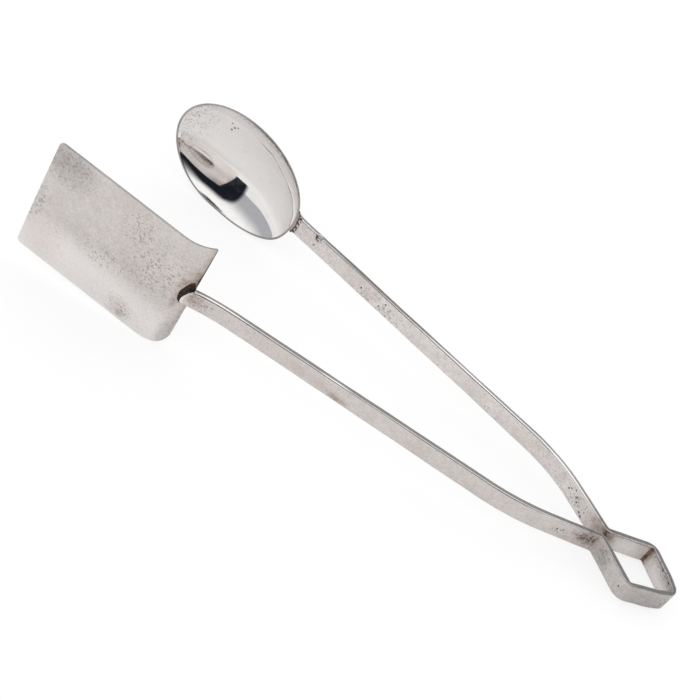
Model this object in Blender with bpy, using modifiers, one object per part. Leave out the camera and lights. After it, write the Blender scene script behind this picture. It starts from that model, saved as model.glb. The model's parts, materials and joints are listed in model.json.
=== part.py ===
"""Wrought serving tongs: a spade blade and a spoon bowl on two strip arms with a pinched neck and a loop.

The tongs are laid out flat in their own frame: +X from the jaws to the loop, the neck at the origin,
+Y towards the spoon and +Z across the strips. They are then laid on the table, on their side.
"""
from math import asin, atan2, cos, exp, pi, radians, sin, tan

import bmesh
import bpy
from mathutils import Matrix, Vector

MM = 0.001

# Flat bar that both strips are made of
STRIP_WIDTH = 7.0 * MM
STRIP_THICKNESS = 2.0 * MM
STRIP_EDGE_ROUND = 0.35 * MM

# Neck, where the strips are folded towards each other
NECK_GAP = 2.8 * MM
NECK_BEND_RADIUS = 1.9 * MM

# Loop behind the neck, measured on the strip's centreline; the radii are those of its outer face
LOOP_FLANK_ANGLE = radians(33.5)
LOOP_CORNER_X = 15.0 * MM
LOOP_TIP_X = 28.7 * MM
LOOP_CORNER_RADIUS = 5.0 * MM
LOOP_TIP_RADIUS = 4.0 * MM

# Arms: a straight root from the neck, a bow, then a straight run up to the bowl or the blade
ARM_STRAIGHT = 106.5 * MM
SPOON_ROOT_ANGLE = radians(27.8)
SPOON_ROOT_RUN = 15.3 * MM
SPOON_BOW_RADIUS = 57.2 * MM
SPOON_SPLAY = radians(3.3)
SPADE_ROOT_ANGLE = radians(29.4)
SPADE_ROOT_RUN = 17.5 * MM
SPADE_BOW_RADIUS = 76.1 * MM
SPADE_SPLAY = radians(12.3)

# Spoon bowl: a cap of an ellipsoid with a flat rim, a step below the arm's inner face
BOWL_LENGTH = 55.2 * MM
BOWL_WIDTH = 39.2 * MM
BOWL_DEPTH = 8.2 * MM
BOWL_WALL = 0.85 * MM
BOWL_CAP_ANGLE = radians(66)
BOWL_TOE = radians(-1.3)
BOWL_RIM_STEP = 0.95 * MM

# Hand-beaten outline of the bowl: a full shoulder below the arm and a flatter bottom, as shares of its radius
BOWL_SHOULDER = 0.058
BOWL_SHOULDER_ANGLE = radians(37)
BOWL_FLAT = 0.045
BOWL_FLAT_ANGLE = radians(88)
BOWL_SWELL_SPREAD = radians(14)

# Spade blade: a flat sheet with its heel rolled up towards the spoon
BLADE_FLAT_LENGTH = 46.8 * MM
BLADE_WIDTH = 41.9 * MM
BLADE_DROP = 2.1 * MM
BLADE_SHEET = 0.8 * MM
BLADE_TOE = radians(-6.6)
HEEL_RADIUS = 12.3 * MM
HEEL_ANGLE = radians(54.7)
BLADE_FRONT_CORNER = 1.6 * MM
BLADE_LOW_HEEL_CORNER = 5.0 * MM
BLADE_HIGH_HEEL_CORNER = 0.3 * MM

# Tongue at the end of the spade arm, bent down edgeways and scarfed onto the heel
TONGUE_DIP = 1.3 * MM
TONGUE_DIP_LENGTH = 15.0 * MM
TONGUE_OVERLAP = 3.0 * MM
TONGUE_HIGH_RADIUS = 4.4 * MM
TONGUE_LOW_RADIUS = 1.8 * MM

# Solder
FIT_GAP = 0.12 * MM
TIP_GAP = 0.5 * MM
CORNER_SOLDER_LEG = 1.0 * MM
BOWL_BEAD = 0.55 * MM
BOWL_BEAD_LENGTH = 1.8 * MM
BLADE_BEAD_RADIUS = 1.9 * MM
BLADE_BEAD_HEIGHT = 1.1 * MM
BLADE_BEAD_MARGIN = 0.3 * MM

# Facets
BEND_STEPS = 8
BOW_STEPS = 18
HEEL_STEPS = 10
DIP_STEPS = 6
CORNER_STEPS = 5
EDGE_STEPS = 2
BOWL_SEGMENTS = 48
BOWL_RINGS = 24
BEAD_SEGMENTS = 24
BEAD_RINGS = 12
SETTLING_ROUNDS = 12

# Limits on what counts as one point, one flat face and one smooth face
WELD_DISTANCE = 0.002 * MM
FLAT_ANGLE = radians(0.2)
SMOOTH_ANGLE = radians(35)
BEVEL_ANGLE = radians(50)

SPOON_SIDE = 1
SPADE_SIDE = -1

SILVER = (0.66, 0.64, 0.62)
POLISHED = (0.82, 0.81, 0.80)
SOLDER = (0.20, 0.16, 0.13)
SATIN_ROUGHNESS = 0.34
POLISHED_ROUGHNESS = 0.08
SOLDER_ROUGHNESS = 0.5


def clear_scene():
    for item in list(bpy.data.objects):
        bpy.data.objects.remove(item, do_unlink=True)


def new_collection(name):
    collection = bpy.data.collections.new(name)
    bpy.context.scene.collection.children.link(collection)
    return collection


def metal(name, colour, roughness):
    material = bpy.data.materials.new(name)
    material.use_nodes = True
    shader = material.node_tree.nodes["Principled BSDF"]
    shader.inputs["Base Color"].default_value = (*colour, 1.0)
    shader.inputs["Metallic"].default_value = 1.0
    shader.inputs["Roughness"].default_value = roughness
    return material


def empty(name, parent):
    marker = bpy.data.objects.new(name, None)
    PARTS.objects.link(marker)
    marker.parent = parent
    return marker


def add_part(name, mesh, parent, colour, roughness, location=(0, 0, 0), turn=0.0):
    part = bpy.data.objects.new(name, mesh)
    PARTS.objects.link(part)
    part.parent = parent
    part.location = location
    part.rotation_euler = (0, 0, turn)
    mesh.materials.append(metal(name, colour, roughness))
    mesh.shade_smooth()
    mesh.set_sharp_from_angle(angle=SMOOTH_ANGLE)
    return part


def add_cutter(name, mesh, parent, location=(0, 0, 0), turn=0.0):
    cutter = bpy.data.objects.new(name, mesh)
    CUTTERS.objects.link(cutter)
    cutter.parent = parent
    cutter.location = location
    cutter.rotation_euler = (0, 0, turn)
    cutter.hide_render = True
    cutter.display_type = 'WIRE'
    return cutter


def cut(part, cutter):
    boolean = part.modifiers.new("cut by " + cutter.name, 'BOOLEAN')
    boolean.operation = 'DIFFERENCE'
    boolean.solver = 'EXACT'
    boolean.object = cutter


def round_edges(part, width):
    bevel = part.modifiers.new("rounded edges", 'BEVEL')
    bevel.width = width
    bevel.segments = EDGE_STEPS
    bevel.limit_method = 'ANGLE'
    bevel.angle_limit = BEVEL_ANGLE


def prism(name, outline, height):
    """Closed mesh of a flat XY outline, as tall as height and centred on z = 0."""
    curve = bpy.data.curves.new(name, 'CURVE')
    curve.dimensions = '2D'
    curve.fill_mode = 'BOTH'
    curve.extrude = height / 2
    spline = curve.splines.new('POLY')
    spline.points.add(len(outline) - 1)
    for point, place in zip(spline.points, outline):
        point.co = (place.x, place.y, 0, 1)
    spline.use_cyclic_u = True
    carrier = bpy.data.objects.new(name, curve)
    bpy.context.scene.collection.objects.link(carrier)
    depsgraph = bpy.context.evaluated_depsgraph_get()
    mesh = bpy.data.meshes.new_from_object(carrier.evaluated_get(depsgraph))
    bpy.data.objects.remove(carrier, do_unlink=True)
    shape = bmesh.new()
    shape.from_mesh(mesh)
    bmesh.ops.remove_doubles(shape, verts=shape.verts, dist=WELD_DISTANCE)
    flat_edges = [edge for edge in shape.edges if edge.calc_face_angle(0.0) < FLAT_ANGLE]
    bmesh.ops.dissolve_edges(shape, edges=flat_edges, use_verts=False)
    bmesh.ops.recalc_face_normals(shape, faces=shape.faces)
    shape.to_mesh(mesh)
    shape.free()
    return mesh


def mirrored(points, side):
    return [Vector((point.x, side * point.y)) for point in points]


def arc(centre, radius, start, stop, steps):
    """Points on a circle, with angles measured from straight down and growing towards +X."""
    angles = [start + (stop - start) * step / steps for step in range(steps + 1)]
    return [centre + radius * Vector((sin(angle), -cos(angle))) for angle in angles]


def fillet(before, corner, after, radius, steps):
    """Round arc in place of the corner between two straight edges."""
    back = (before - corner).normalized()
    ahead = (after - corner).normalized()
    half = back.angle(ahead) / 2
    centre = corner + (back + ahead).normalized() * radius / sin(half)
    first = corner + back * radius / tan(half) - centre
    last = corner + ahead * radius / tan(half) - centre
    sweep = first.angle_signed(last)
    turns = [Matrix.Rotation(-sweep * step / steps, 2) for step in range(steps + 1)]
    return [centre + turn @ first for turn in turns]


def forward(angle):
    """Direction towards the jaws on the spoon side, at an angle from the axis."""
    return Vector((-cos(angle), sin(angle)))


def outward(angle):
    return Vector((sin(angle), cos(angle)))


NECK_CENTRE = Vector((0, NECK_GAP / 2 + STRIP_THICKNESS / 2 + NECK_BEND_RADIUS))
SPLIT_ANGLE = FIT_GAP / NECK_BEND_RADIUS / 2


class Loop:
    """Centreline corner and tip of one half of the loop, on the spoon side."""

    start = NECK_CENTRE + NECK_BEND_RADIUS * Vector((sin(LOOP_FLANK_ANGLE), -cos(LOOP_FLANK_ANGLE)))
    rise = Vector((cos(LOOP_FLANK_ANGLE), sin(LOOP_FLANK_ANGLE)))
    corner = start + rise * (LOOP_CORNER_X - start.x) / rise.x
    fall = (Vector((LOOP_TIP_X, 0)) - corner).normalized()
    rise_normal = Vector((-rise.y, rise.x))
    fall_normal = Vector((-fall.y, fall.x))
    crest = Vector((LOOP_TIP_X + STRIP_THICKNESS / 2 / fall_normal.x, 0))
    tip_centre = crest - Vector((LOOP_TIP_RADIUS / fall_normal.x, 0))


def loop_corner(offset):
    normals = Loop.rise_normal + Loop.fall_normal
    return Loop.corner + normals * offset / (1 + Loop.rise_normal.dot(Loop.fall_normal))


def loop_tip(offset, gap):
    """Where the strip's face, offset from its centreline, ends at the mitre."""
    point = Vector((LOOP_TIP_X, 0)) + Loop.fall_normal * offset
    return point + Loop.fall * (gap / 2 - point.y) / Loop.fall.y


def loop_outline():
    half = STRIP_THICKNESS / 2
    outer = arc(NECK_CENTRE, NECK_BEND_RADIUS - half, SPLIT_ANGLE, LOOP_FLANK_ANGLE, BEND_STEPS)
    inner = arc(NECK_CENTRE, NECK_BEND_RADIUS + half, LOOP_FLANK_ANGLE, SPLIT_ANGLE, BEND_STEPS)
    bend = fillet(outer[-1], loop_corner(half), Loop.crest, LOOP_CORNER_RADIUS, BEND_STEPS)
    tangent = pi / 2 + atan2(Loop.fall_normal.y, Loop.fall_normal.x)
    mitre = pi / 2 + asin(TIP_GAP / 2 / LOOP_TIP_RADIUS)
    tip = arc(Loop.tip_centre, LOOP_TIP_RADIUS, tangent, mitre, BEND_STEPS)
    return outer + bend + tip + [loop_tip(-half, TIP_GAP), loop_corner(-half)] + inner


class Arm:
    """Path of one arm, on the spoon side: neck bend, root, bow and straight run."""

    def __init__(self, root_angle, root_run, bow_radius, splay):
        root = NECK_CENTRE - NECK_BEND_RADIUS * outward(root_angle)
        bow_start = root + forward(root_angle) * root_run
        self.root_angle = root_angle
        self.bow_radius = bow_radius
        self.splay = splay
        self.bow_centre = bow_start - outward(root_angle) * bow_radius

    def place(self, distance, offset):
        """Point at a distance along the straight run, offset outwards from the centreline."""
        start = self.bow_centre + outward(self.splay) * (self.bow_radius + offset)
        return start + forward(self.splay) * distance

    def face(self, offset, end):
        bend = arc(NECK_CENTRE, NECK_BEND_RADIUS - offset, -SPLIT_ANGLE, -self.root_angle, BEND_STEPS)
        sweep = self.splay - self.root_angle
        angles = [self.root_angle + sweep * step / BOW_STEPS for step in range(BOW_STEPS + 1)]
        bow = [self.bow_centre + outward(angle) * (self.bow_radius + offset) for angle in angles]
        return bend + bow + [self.place(end, offset)]

    def outline(self, end, grow=0.0, cover=0.0):
        """Strip from the neck to its end, grown all round, with a cover over its outer face."""
        half = STRIP_THICKNESS / 2 + grow
        return self.face(half + cover, end) + self.face(-half, end)[::-1]


SPOON_ARM = Arm(SPOON_ROOT_ANGLE, SPOON_ROOT_RUN, SPOON_BOW_RADIUS, SPOON_SPLAY)
SPADE_ARM = Arm(SPADE_ROOT_ANGLE, SPADE_ROOT_RUN, SPADE_BOW_RADIUS, SPADE_SPLAY)
BOWL_HEADING = SPOON_SPLAY + BOWL_TOE
BLADE_HEADING = SPADE_SPLAY + BLADE_TOE


def loop_half(name, side, handle):
    mesh = prism(name, mirrored(loop_outline(), side), STRIP_WIDTH)
    part = add_part(name, mesh, handle, SILVER, SATIN_ROUGHNESS)
    round_edges(part, STRIP_EDGE_ROUND)
    return part


def corner_solder(name, side, handle):
    """Fillet in the scored fold on the loop's inside."""
    tuck = loop_corner(-STRIP_THICKNESS / 2 - FIT_GAP)
    outline = [tuck, tuck - Loop.rise * CORNER_SOLDER_LEG, tuck + Loop.fall * CORNER_SOLDER_LEG]
    mesh = prism(name, mirrored(outline, side), STRIP_WIDTH - 2 * STRIP_EDGE_ROUND)
    return add_part(name, mesh, handle, SOLDER, SOLDER_ROUGHNESS)


def tip_solder(handle):
    """Solder in the mitre at the loop's tip, with a fillet inside it."""
    slit = TIP_GAP - 2 * FIT_GAP
    inside = -STRIP_THICKNESS / 2 - FIT_GAP
    throat = loop_tip(inside, slit)
    mouth = Loop.tip_centre + Vector((LOOP_TIP_RADIUS - STRIP_EDGE_ROUND, slit / 2))
    half = [mouth, throat, throat - Loop.fall * CORNER_SOLDER_LEG]
    outline = half + mirrored(half[::-1], SPADE_SIDE)
    mesh = prism("tip_solder", outline, STRIP_WIDTH - 2 * STRIP_EDGE_ROUND)
    return add_part("tip_solder", mesh, handle, SOLDER, SOLDER_ROUGHNESS)


def neck_solder(handle):
    """Solder that fills the throat between the two strips, on the loop's side of the neck."""
    radius = NECK_BEND_RADIUS + STRIP_THICKNESS / 2 + FIT_GAP
    half = arc(NECK_CENTRE, radius, SPLIT_ANGLE, LOOP_FLANK_ANGLE, BEND_STEPS)
    outline = half + mirrored(half[::-1], SPADE_SIDE)
    mesh = prism("neck_solder", outline, STRIP_WIDTH - 2 * STRIP_EDGE_ROUND)
    return add_part("neck_solder", mesh, handle, SOLDER, SOLDER_ROUGHNESS)


def ellipsoid(name, radii, segments, rings):
    """Closed ellipsoid about the origin with its poles along Y."""
    shape = bmesh.new()
    bmesh.ops.create_uvsphere(shape, u_segments=segments, v_segments=rings, radius=1.0)
    turn = Vector((0, 0, 1)).rotation_difference(Vector((0, 1, 0))).to_matrix()
    bmesh.ops.rotate(shape, verts=shape.verts, matrix=turn)
    bmesh.ops.scale(shape, verts=shape.verts, vec=radii)
    bmesh.ops.recalc_face_normals(shape, faces=shape.faces)
    mesh = bpy.data.meshes.new(name)
    shape.to_mesh(mesh)
    shape.free()
    return mesh


def box(name, low, high, rounding=0.0):
    """Closed block between two corners, its edges rounded if asked for."""
    shape = bmesh.new()
    bmesh.ops.create_cube(shape, size=1.0)
    span = Vector(high) - Vector(low)
    bmesh.ops.scale(shape, verts=shape.verts, vec=span)
    bmesh.ops.translate(shape, verts=shape.verts, vec=(Vector(high) + Vector(low)) / 2)
    if rounding > 0:
        edges = shape.edges[:]
        bmesh.ops.bevel(shape, geom=edges, offset=rounding, segments=EDGE_STEPS, profile=0.5, affect='EDGES')
    mesh = bpy.data.meshes.new(name)
    shape.to_mesh(mesh)
    shape.free()
    return mesh


def bowl_radii(grow):
    """Half axes of the ellipsoid that the bowl's outer face is a cap of: along, deep and across."""
    along = BOWL_LENGTH / 2 / sin(BOWL_CAP_ANGLE) + grow
    deep = BOWL_DEPTH / (1 - cos(BOWL_CAP_ANGLE)) + grow
    across = BOWL_WIDTH / 2 / sin(BOWL_CAP_ANGLE) + grow
    return Vector((along, deep, across))


def bowl_form(name, grow):
    """Ellipsoid of the bowl's outer face with its hand-beaten outline, grown all round."""
    mesh = ellipsoid(name, bowl_radii(grow), BOWL_SEGMENTS, BOWL_RINGS)
    for vert in mesh.vertices:
        along, deep, across = vert.co
        angle = atan2(-across / BOWL_WIDTH, along / BOWL_LENGTH)
        shoulder = exp(-((angle - BOWL_SHOULDER_ANGLE) / BOWL_SWELL_SPREAD) ** 2 / 2)
        flat = exp(-((angle - BOWL_FLAT_ANGLE) / BOWL_SWELL_SPREAD) ** 2 / 2)
        swell = 1 + BOWL_SHOULDER * shoulder - BOWL_FLAT * flat
        vert.co = (along * swell, deep, across * swell)
    return mesh


def bowl_seat():
    """Centre of the bowl's rim and of its ellipsoid, in the plane of the tongs."""
    heel = SPOON_ARM.place(ARM_STRAIGHT, BOWL_RIM_STEP - STRIP_THICKNESS / 2)
    rim = heel + forward(BOWL_HEADING) * BOWL_LENGTH / 2
    lift = bowl_radii(0).y * cos(BOWL_CAP_ANGLE)
    return rim, rim - outward(BOWL_HEADING) * lift


def spoon_bowl(hinge):
    """Cap of an ellipsoid, hollow towards the blade, with the rim filed flat."""
    rim, centre = bowl_seat()
    mesh = bowl_form("spoon_bowl", 0.0)
    lift = bowl_radii(0).y * cos(BOWL_CAP_ANGLE)
    shape = bmesh.new()
    shape.from_mesh(mesh)
    everything = shape.verts[:] + shape.edges[:] + shape.faces[:]
    brim = (0, lift - 1.5 * BOWL_WALL, 0)
    bmesh.ops.bisect_plane(shape, geom=everything, plane_co=brim, plane_no=(0, -1, 0), clear_outer=True)
    shape.to_mesh(mesh)
    shape.free()
    bowl = add_part("spoon_bowl", mesh, hinge, POLISHED, POLISHED_ROUGHNESS, centre.to_3d(), -BOWL_HEADING)
    shell = bowl.modifiers.new("wall", 'SOLIDIFY')
    shell.thickness = BOWL_WALL
    shell.offset = -1
    reach = BOWL_LENGTH
    file_mesh = box("bowl_rim_file", (-reach, lift - BOWL_DEPTH, -reach), (reach, lift, reach))
    cut(bowl, add_cutter("bowl_rim_file", file_mesh, hinge, centre.to_3d(), -BOWL_HEADING))
    return bowl


def spoon_arm(hinge):
    """Strip arm, coped to the bowl's back."""
    end = ARM_STRAIGHT + 2 * STRIP_THICKNESS
    mesh = prism("spoon_arm", SPOON_ARM.outline(end), STRIP_WIDTH)
    arm = add_part("spoon_arm", mesh, hinge, SILVER, SATIN_ROUGHNESS)
    round_edges(arm, STRIP_EDGE_ROUND)
    centre = bowl_seat()[1]
    back = bowl_form("bowl_back", FIT_GAP)
    cut(arm, add_cutter("bowl_back", back, hinge, centre.to_3d(), -BOWL_HEADING))
    return arm


def bowl_solder(hinge):
    """Bead around the arm's end where it butts on the bowl."""
    half = STRIP_THICKNESS / 2
    seat = SPOON_ARM.place(ARM_STRAIGHT, 0).to_3d()
    bead = FIT_GAP + BOWL_BEAD
    low = (-2 * STRIP_THICKNESS, -half - bead, -STRIP_WIDTH / 2 - bead)
    high = (BOWL_BEAD_LENGTH, half + bead, STRIP_WIDTH / 2 + bead)
    mesh = box("bowl_solder", low, high, BOWL_BEAD)
    solder = add_part("bowl_solder", mesh, hinge, SOLDER, SOLDER_ROUGHNESS, seat, -SPOON_SPLAY)
    end = ARM_STRAIGHT + 3 * STRIP_THICKNESS
    room = prism("spoon_arm_room", SPOON_ARM.outline(end, FIT_GAP), STRIP_WIDTH + 2 * FIT_GAP)
    cut(solder, add_cutter("spoon_arm_room", room, hinge))
    centre = bowl_seat()[1]
    back = bowl_form("bowl_back_room", 2 * FIT_GAP)
    cut(solder, add_cutter("bowl_back_room", back, hinge, centre.to_3d(), -BOWL_HEADING))
    return solder


def rolled(distance, depth):
    """Place on the bent blade, in its own frame: origin at the heel's edge, -X forward, +Y to the spoon.

    distance runs along the outer face from the heel's edge, and depth goes into the sheet.
    """
    heel_length = HEEL_RADIUS * HEEL_ANGLE
    turned = HEEL_ANGLE * max(0.0, 1 - distance / heel_length)
    flat = max(0.0, distance - heel_length)
    radius = HEEL_RADIUS - depth
    x = radius * sin(turned) - HEEL_RADIUS * sin(HEEL_ANGLE) - flat
    y = HEEL_RADIUS * cos(HEEL_ANGLE) - radius * cos(turned)
    return x, y


def blade_seat():
    heel_edge = SPADE_ARM.place(ARM_STRAIGHT, -STRIP_THICKNESS / 2)
    return Vector((heel_edge.x, SPADE_SIDE * heel_edge.y, 0))


def blade_blank():
    """Outline of the flat sheet before its heel is rolled: X along the sheet, Y across it."""
    length = HEEL_RADIUS * HEEL_ANGLE + BLADE_FLAT_LENGTH
    low = -BLADE_WIDTH / 2 - BLADE_DROP
    high = BLADE_WIDTH / 2 - BLADE_DROP
    corners = [Vector((0, low)), Vector((length, low)), Vector((length, high)), Vector((0, high))]
    radii = [BLADE_LOW_HEEL_CORNER, BLADE_FRONT_CORNER, BLADE_FRONT_CORNER, BLADE_HIGH_HEEL_CORNER]
    outline = []
    for place, radius in enumerate(radii):
        after = corners[(place + 1) % len(corners)]
        outline += fillet(corners[place - 1], corners[place], after, radius, CORNER_STEPS)
    return outline


def spade_blade(hinge):
    """Flat blank with rounded corners, rolled up at the heel."""
    mesh = prism("spade_blade", blade_blank(), BLADE_SHEET)
    shape = bmesh.new()
    shape.from_mesh(mesh)
    for step in range(1, HEEL_STEPS + 1):
        line = HEEL_RADIUS * HEEL_ANGLE * step / HEEL_STEPS
        everything = shape.verts[:] + shape.edges[:] + shape.faces[:]
        bmesh.ops.bisect_plane(shape, geom=everything, plane_co=(line, 0, 0), plane_no=(1, 0, 0))
    for vert in shape.verts:
        across = vert.co.y
        x, y = rolled(vert.co.x, vert.co.z + BLADE_SHEET / 2)
        vert.co = (x, y, across)
    bmesh.ops.triangulate(shape, faces=[face for face in shape.faces if len(face.verts) > 4])
    bmesh.ops.recalc_face_normals(shape, faces=shape.faces)
    shape.to_mesh(mesh)
    shape.free()
    return add_part("spade_blade", mesh, hinge, SILVER, SATIN_ROUGHNESS, blade_seat(), BLADE_HEADING)


def heel_back(name, grow, reach, hinge):
    """Cutter that fills the blade's hollow side, up to its outer face grown by a gap."""
    length = HEEL_RADIUS * HEEL_ANGLE
    outer = [rolled(length * step / HEEL_STEPS, -grow) for step in range(HEEL_STEPS + 1)]
    outline = [Vector(place) for place in outer]
    front = outline[-1] - Vector((reach, 0))
    outline += [front, Vector((front.x, reach)), outline[0] + Vector((0, reach))]
    mesh = prism(name, outline, BLADE_WIDTH)
    return add_cutter(name, mesh, hinge, blade_seat(), BLADE_HEADING)


def bend_down(shape):
    """Dip of the spade arm's end below the rest of the strip."""
    ahead = Vector((-cos(SPADE_SPLAY), -sin(SPADE_SPLAY), 0))
    start = SPADE_ARM.place(ARM_STRAIGHT - TONGUE_DIP_LENGTH, 0)
    start = Vector((start.x, SPADE_SIDE * start.y, 0))
    for step in range(DIP_STEPS):
        line = start + ahead * TONGUE_DIP_LENGTH * step / DIP_STEPS
        everything = shape.verts[:] + shape.edges[:] + shape.faces[:]
        bmesh.ops.bisect_plane(shape, geom=everything, plane_co=line, plane_no=ahead)
    for vert in shape.verts:
        share = (vert.co - start).dot(ahead) / TONGUE_DIP_LENGTH
        vert.co.z -= TONGUE_DIP * max(0.0, share) ** 2


def tongue(name, grow=0.0, cover=0.0):
    """Spade arm with its end rounded into a tongue, before it is scarfed onto the heel."""
    end = ARM_STRAIGHT + TONGUE_OVERLAP + grow
    outline = mirrored(SPADE_ARM.outline(end, grow, cover), SPADE_SIDE)
    mesh = prism(name, outline, STRIP_WIDTH + 2 * grow)
    shape = bmesh.new()
    shape.from_mesh(mesh)
    bend_down(shape)
    tip = mirrored([SPADE_ARM.place(end, 0)], SPADE_SIDE)[0]
    for level, radius in ((1, TONGUE_HIGH_RADIUS), (-1, TONGUE_LOW_RADIUS)):
        reach = STRIP_THICKNESS / 2 + grow + cover + FIT_GAP
        near = [v for v in shape.verts if (v.co.xy - tip).length < reach and v.co.z * level > 0]
        edges = [edge for edge in shape.edges if edge.verts[0] in near and edge.verts[1] in near]
        bmesh.ops.bevel(shape, geom=edges, offset=radius, segments=CORNER_STEPS, profile=0.5, affect='EDGES')
    shape.to_mesh(mesh)
    shape.free()
    return mesh


def spade_arm(hinge):
    """Strip arm, its tongue scarfed onto the outside of the heel."""
    arm = add_part("spade_arm", tongue("spade_arm"), hinge, SILVER, SATIN_ROUGHNESS)
    round_edges(arm, STRIP_EDGE_ROUND)
    cut(arm, heel_back("heel_back", FIT_GAP, 2 * STRIP_WIDTH, hinge))
    return arm


def blade_solder(hinge):
    """Puddle of solder on the heel, over the tongue's rounded upper corner."""
    radii = Vector((BLADE_BEAD_RADIUS, BLADE_BEAD_HEIGHT, BLADE_BEAD_RADIUS))
    mesh = ellipsoid("blade_solder", radii, BEAD_SEGMENTS, BEAD_RINGS)
    distance = BLADE_BEAD_RADIUS + BLADE_BEAD_MARGIN
    lean = HEEL_ANGLE - distance / HEEL_RADIUS
    x, y = rolled(distance, 0.0)
    seat = blade_seat() + Matrix.Rotation(BLADE_HEADING, 3, 'Z') @ Vector((x, y, 0))
    seat.z = STRIP_WIDTH / 2 - TONGUE_DIP
    solder = add_part("blade_solder", mesh, hinge, SOLDER, SOLDER_ROUGHNESS, seat, BLADE_HEADING + lean)
    room = tongue("tongue_room", FIT_GAP, 2 * BLADE_BEAD_HEIGHT)
    cut(solder, add_cutter("tongue_room", room, hinge))
    cut(solder, heel_back("heel_back_room", FIT_GAP, 2 * STRIP_WIDTH, hinge))
    return solder


def world_points(parts):
    depsgraph = bpy.context.evaluated_depsgraph_get()
    points = []
    for part in parts:
        mesh = part.evaluated_get(depsgraph).to_mesh()
        points += [part.matrix_world @ vert.co for vert in mesh.vertices]
    return points


def lay_down(tongs, rests):
    """Turn the tongs so that they rest on the table, with the jaws' middle line along X, and centre them."""
    bpy.context.view_layer.update()
    groups = [world_points(parts) for parts in rests]
    up = Vector((0, 0, 1))
    for _ in range(SETTLING_ROUNDS):
        lowest = [min(group, key=up.dot) for group in groups]
        up = (lowest[1] - lowest[0]).cross(lowest[2] - lowest[0]).normalized()
        if up.z < 0:
            up = -up
    level = up.rotation_difference(Vector((0, 0, 1))).to_matrix()
    jaw_line = Matrix.Rotation((SPOON_SPLAY - SPADE_SPLAY) / 2, 3, 'Z')
    turn = jaw_line @ level
    tongs.matrix_world = turn.to_4x4()
    bpy.context.view_layer.update()
    points = world_points([part for part in PARTS.objects if part.type == 'MESH'])
    low = Vector([min(point[axis] for point in points) for axis in range(3)])
    high = Vector([max(point[axis] for point in points) for axis in range(3)])
    middle = (low + high) / 2
    tongs.matrix_world = Matrix.Translation((-middle.x, -middle.y, -low.z)) @ turn.to_4x4()
    bpy.context.view_layer.update()


clear_scene()
PARTS = new_collection("serving_tongs")
CUTTERS = new_collection("cutters")

tongs_frame = empty("tongs_frame", None)
spoon_hinge = empty("spoon_hinge", tongs_frame)
spade_hinge = empty("spade_hinge", tongs_frame)

loop_halves = [
    loop_half("spoon_loop_half", SPOON_SIDE, tongs_frame),
    loop_half("spade_loop_half", SPADE_SIDE, tongs_frame),
]
corner_solder("spoon_corner_solder", SPOON_SIDE, tongs_frame)
corner_solder("spade_corner_solder", SPADE_SIDE, tongs_frame)
tip_solder(tongs_frame)
neck_solder(tongs_frame)

spoon_arm(spoon_hinge)
bowl = spoon_bowl(spoon_hinge)
bowl_solder(spoon_hinge)

spade_arm(spade_hinge)
blade = spade_blade(spade_hinge)
blade_solder(spade_hinge)

lay_down(tongs_frame, [loop_halves, [blade], [bowl]])
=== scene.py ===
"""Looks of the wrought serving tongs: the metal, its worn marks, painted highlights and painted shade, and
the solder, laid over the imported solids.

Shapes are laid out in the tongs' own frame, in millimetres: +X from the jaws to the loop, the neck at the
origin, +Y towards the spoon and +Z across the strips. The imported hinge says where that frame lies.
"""
import json
from collections import namedtuple
from math import asin, atan2, cos, exp, pi, radians, sin, sqrt, tan

import bpy
from mathutils import Euler, Matrix, Vector, noise


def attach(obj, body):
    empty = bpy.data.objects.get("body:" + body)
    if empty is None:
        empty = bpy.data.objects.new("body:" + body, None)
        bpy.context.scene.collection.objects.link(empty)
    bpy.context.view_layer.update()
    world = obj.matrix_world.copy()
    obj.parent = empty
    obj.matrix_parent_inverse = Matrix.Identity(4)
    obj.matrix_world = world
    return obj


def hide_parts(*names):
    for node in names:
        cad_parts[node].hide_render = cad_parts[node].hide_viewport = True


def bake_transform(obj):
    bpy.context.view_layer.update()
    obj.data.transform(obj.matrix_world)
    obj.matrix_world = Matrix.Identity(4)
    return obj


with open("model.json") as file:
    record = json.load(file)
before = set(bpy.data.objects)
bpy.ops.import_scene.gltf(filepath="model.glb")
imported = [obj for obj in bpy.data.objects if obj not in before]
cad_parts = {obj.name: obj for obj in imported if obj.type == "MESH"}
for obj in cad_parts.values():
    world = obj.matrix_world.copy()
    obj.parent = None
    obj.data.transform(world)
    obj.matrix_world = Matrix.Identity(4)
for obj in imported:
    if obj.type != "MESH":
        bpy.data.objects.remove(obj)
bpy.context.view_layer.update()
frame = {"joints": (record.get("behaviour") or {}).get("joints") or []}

MM = 0.001
SPOON_SIDE = 1
SPADE_SIDE = -1
HALVINGS = 24

# Flat bar that both strips are made of
STRIP_WIDTH = 7.0
STRIP_THICKNESS = 2.0
STRIP_EDGE_ROUND = 0.42
HALF_STRIP = STRIP_THICKNESS / 2
INNER = -HALF_STRIP
OUTER = HALF_STRIP

# Neck and loop
NECK_GAP = 2.8
NECK_BEND_RADIUS = 1.9
LOOP_FLANK_ANGLE = radians(33.5)
LOOP_CORNER_X = 15.0
LOOP_TIP_X = 28.7
LOOP_CORNER_RADIUS = 5.0
LOOP_TIP_RADIUS = 4.0
TIP_SEAM = 0.1
LOOP_BOW = 0.45
LOOP_BOW_PLACE = -69.0
LOOP_BOW_REACH = 4.5

# Arms
ARM_STRAIGHT = 106.5
SPOON_ROOT_ANGLE = radians(27.8)
SPOON_ROOT_RUN = 15.3
SPOON_BOW_RADIUS = 57.2
SPOON_SPLAY = radians(3.3)
SPADE_ROOT_ANGLE = radians(29.4)
SPADE_ROOT_RUN = 17.5
SPADE_BOW_RADIUS = 76.1
SPADE_SPLAY = radians(12.3)

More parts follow.
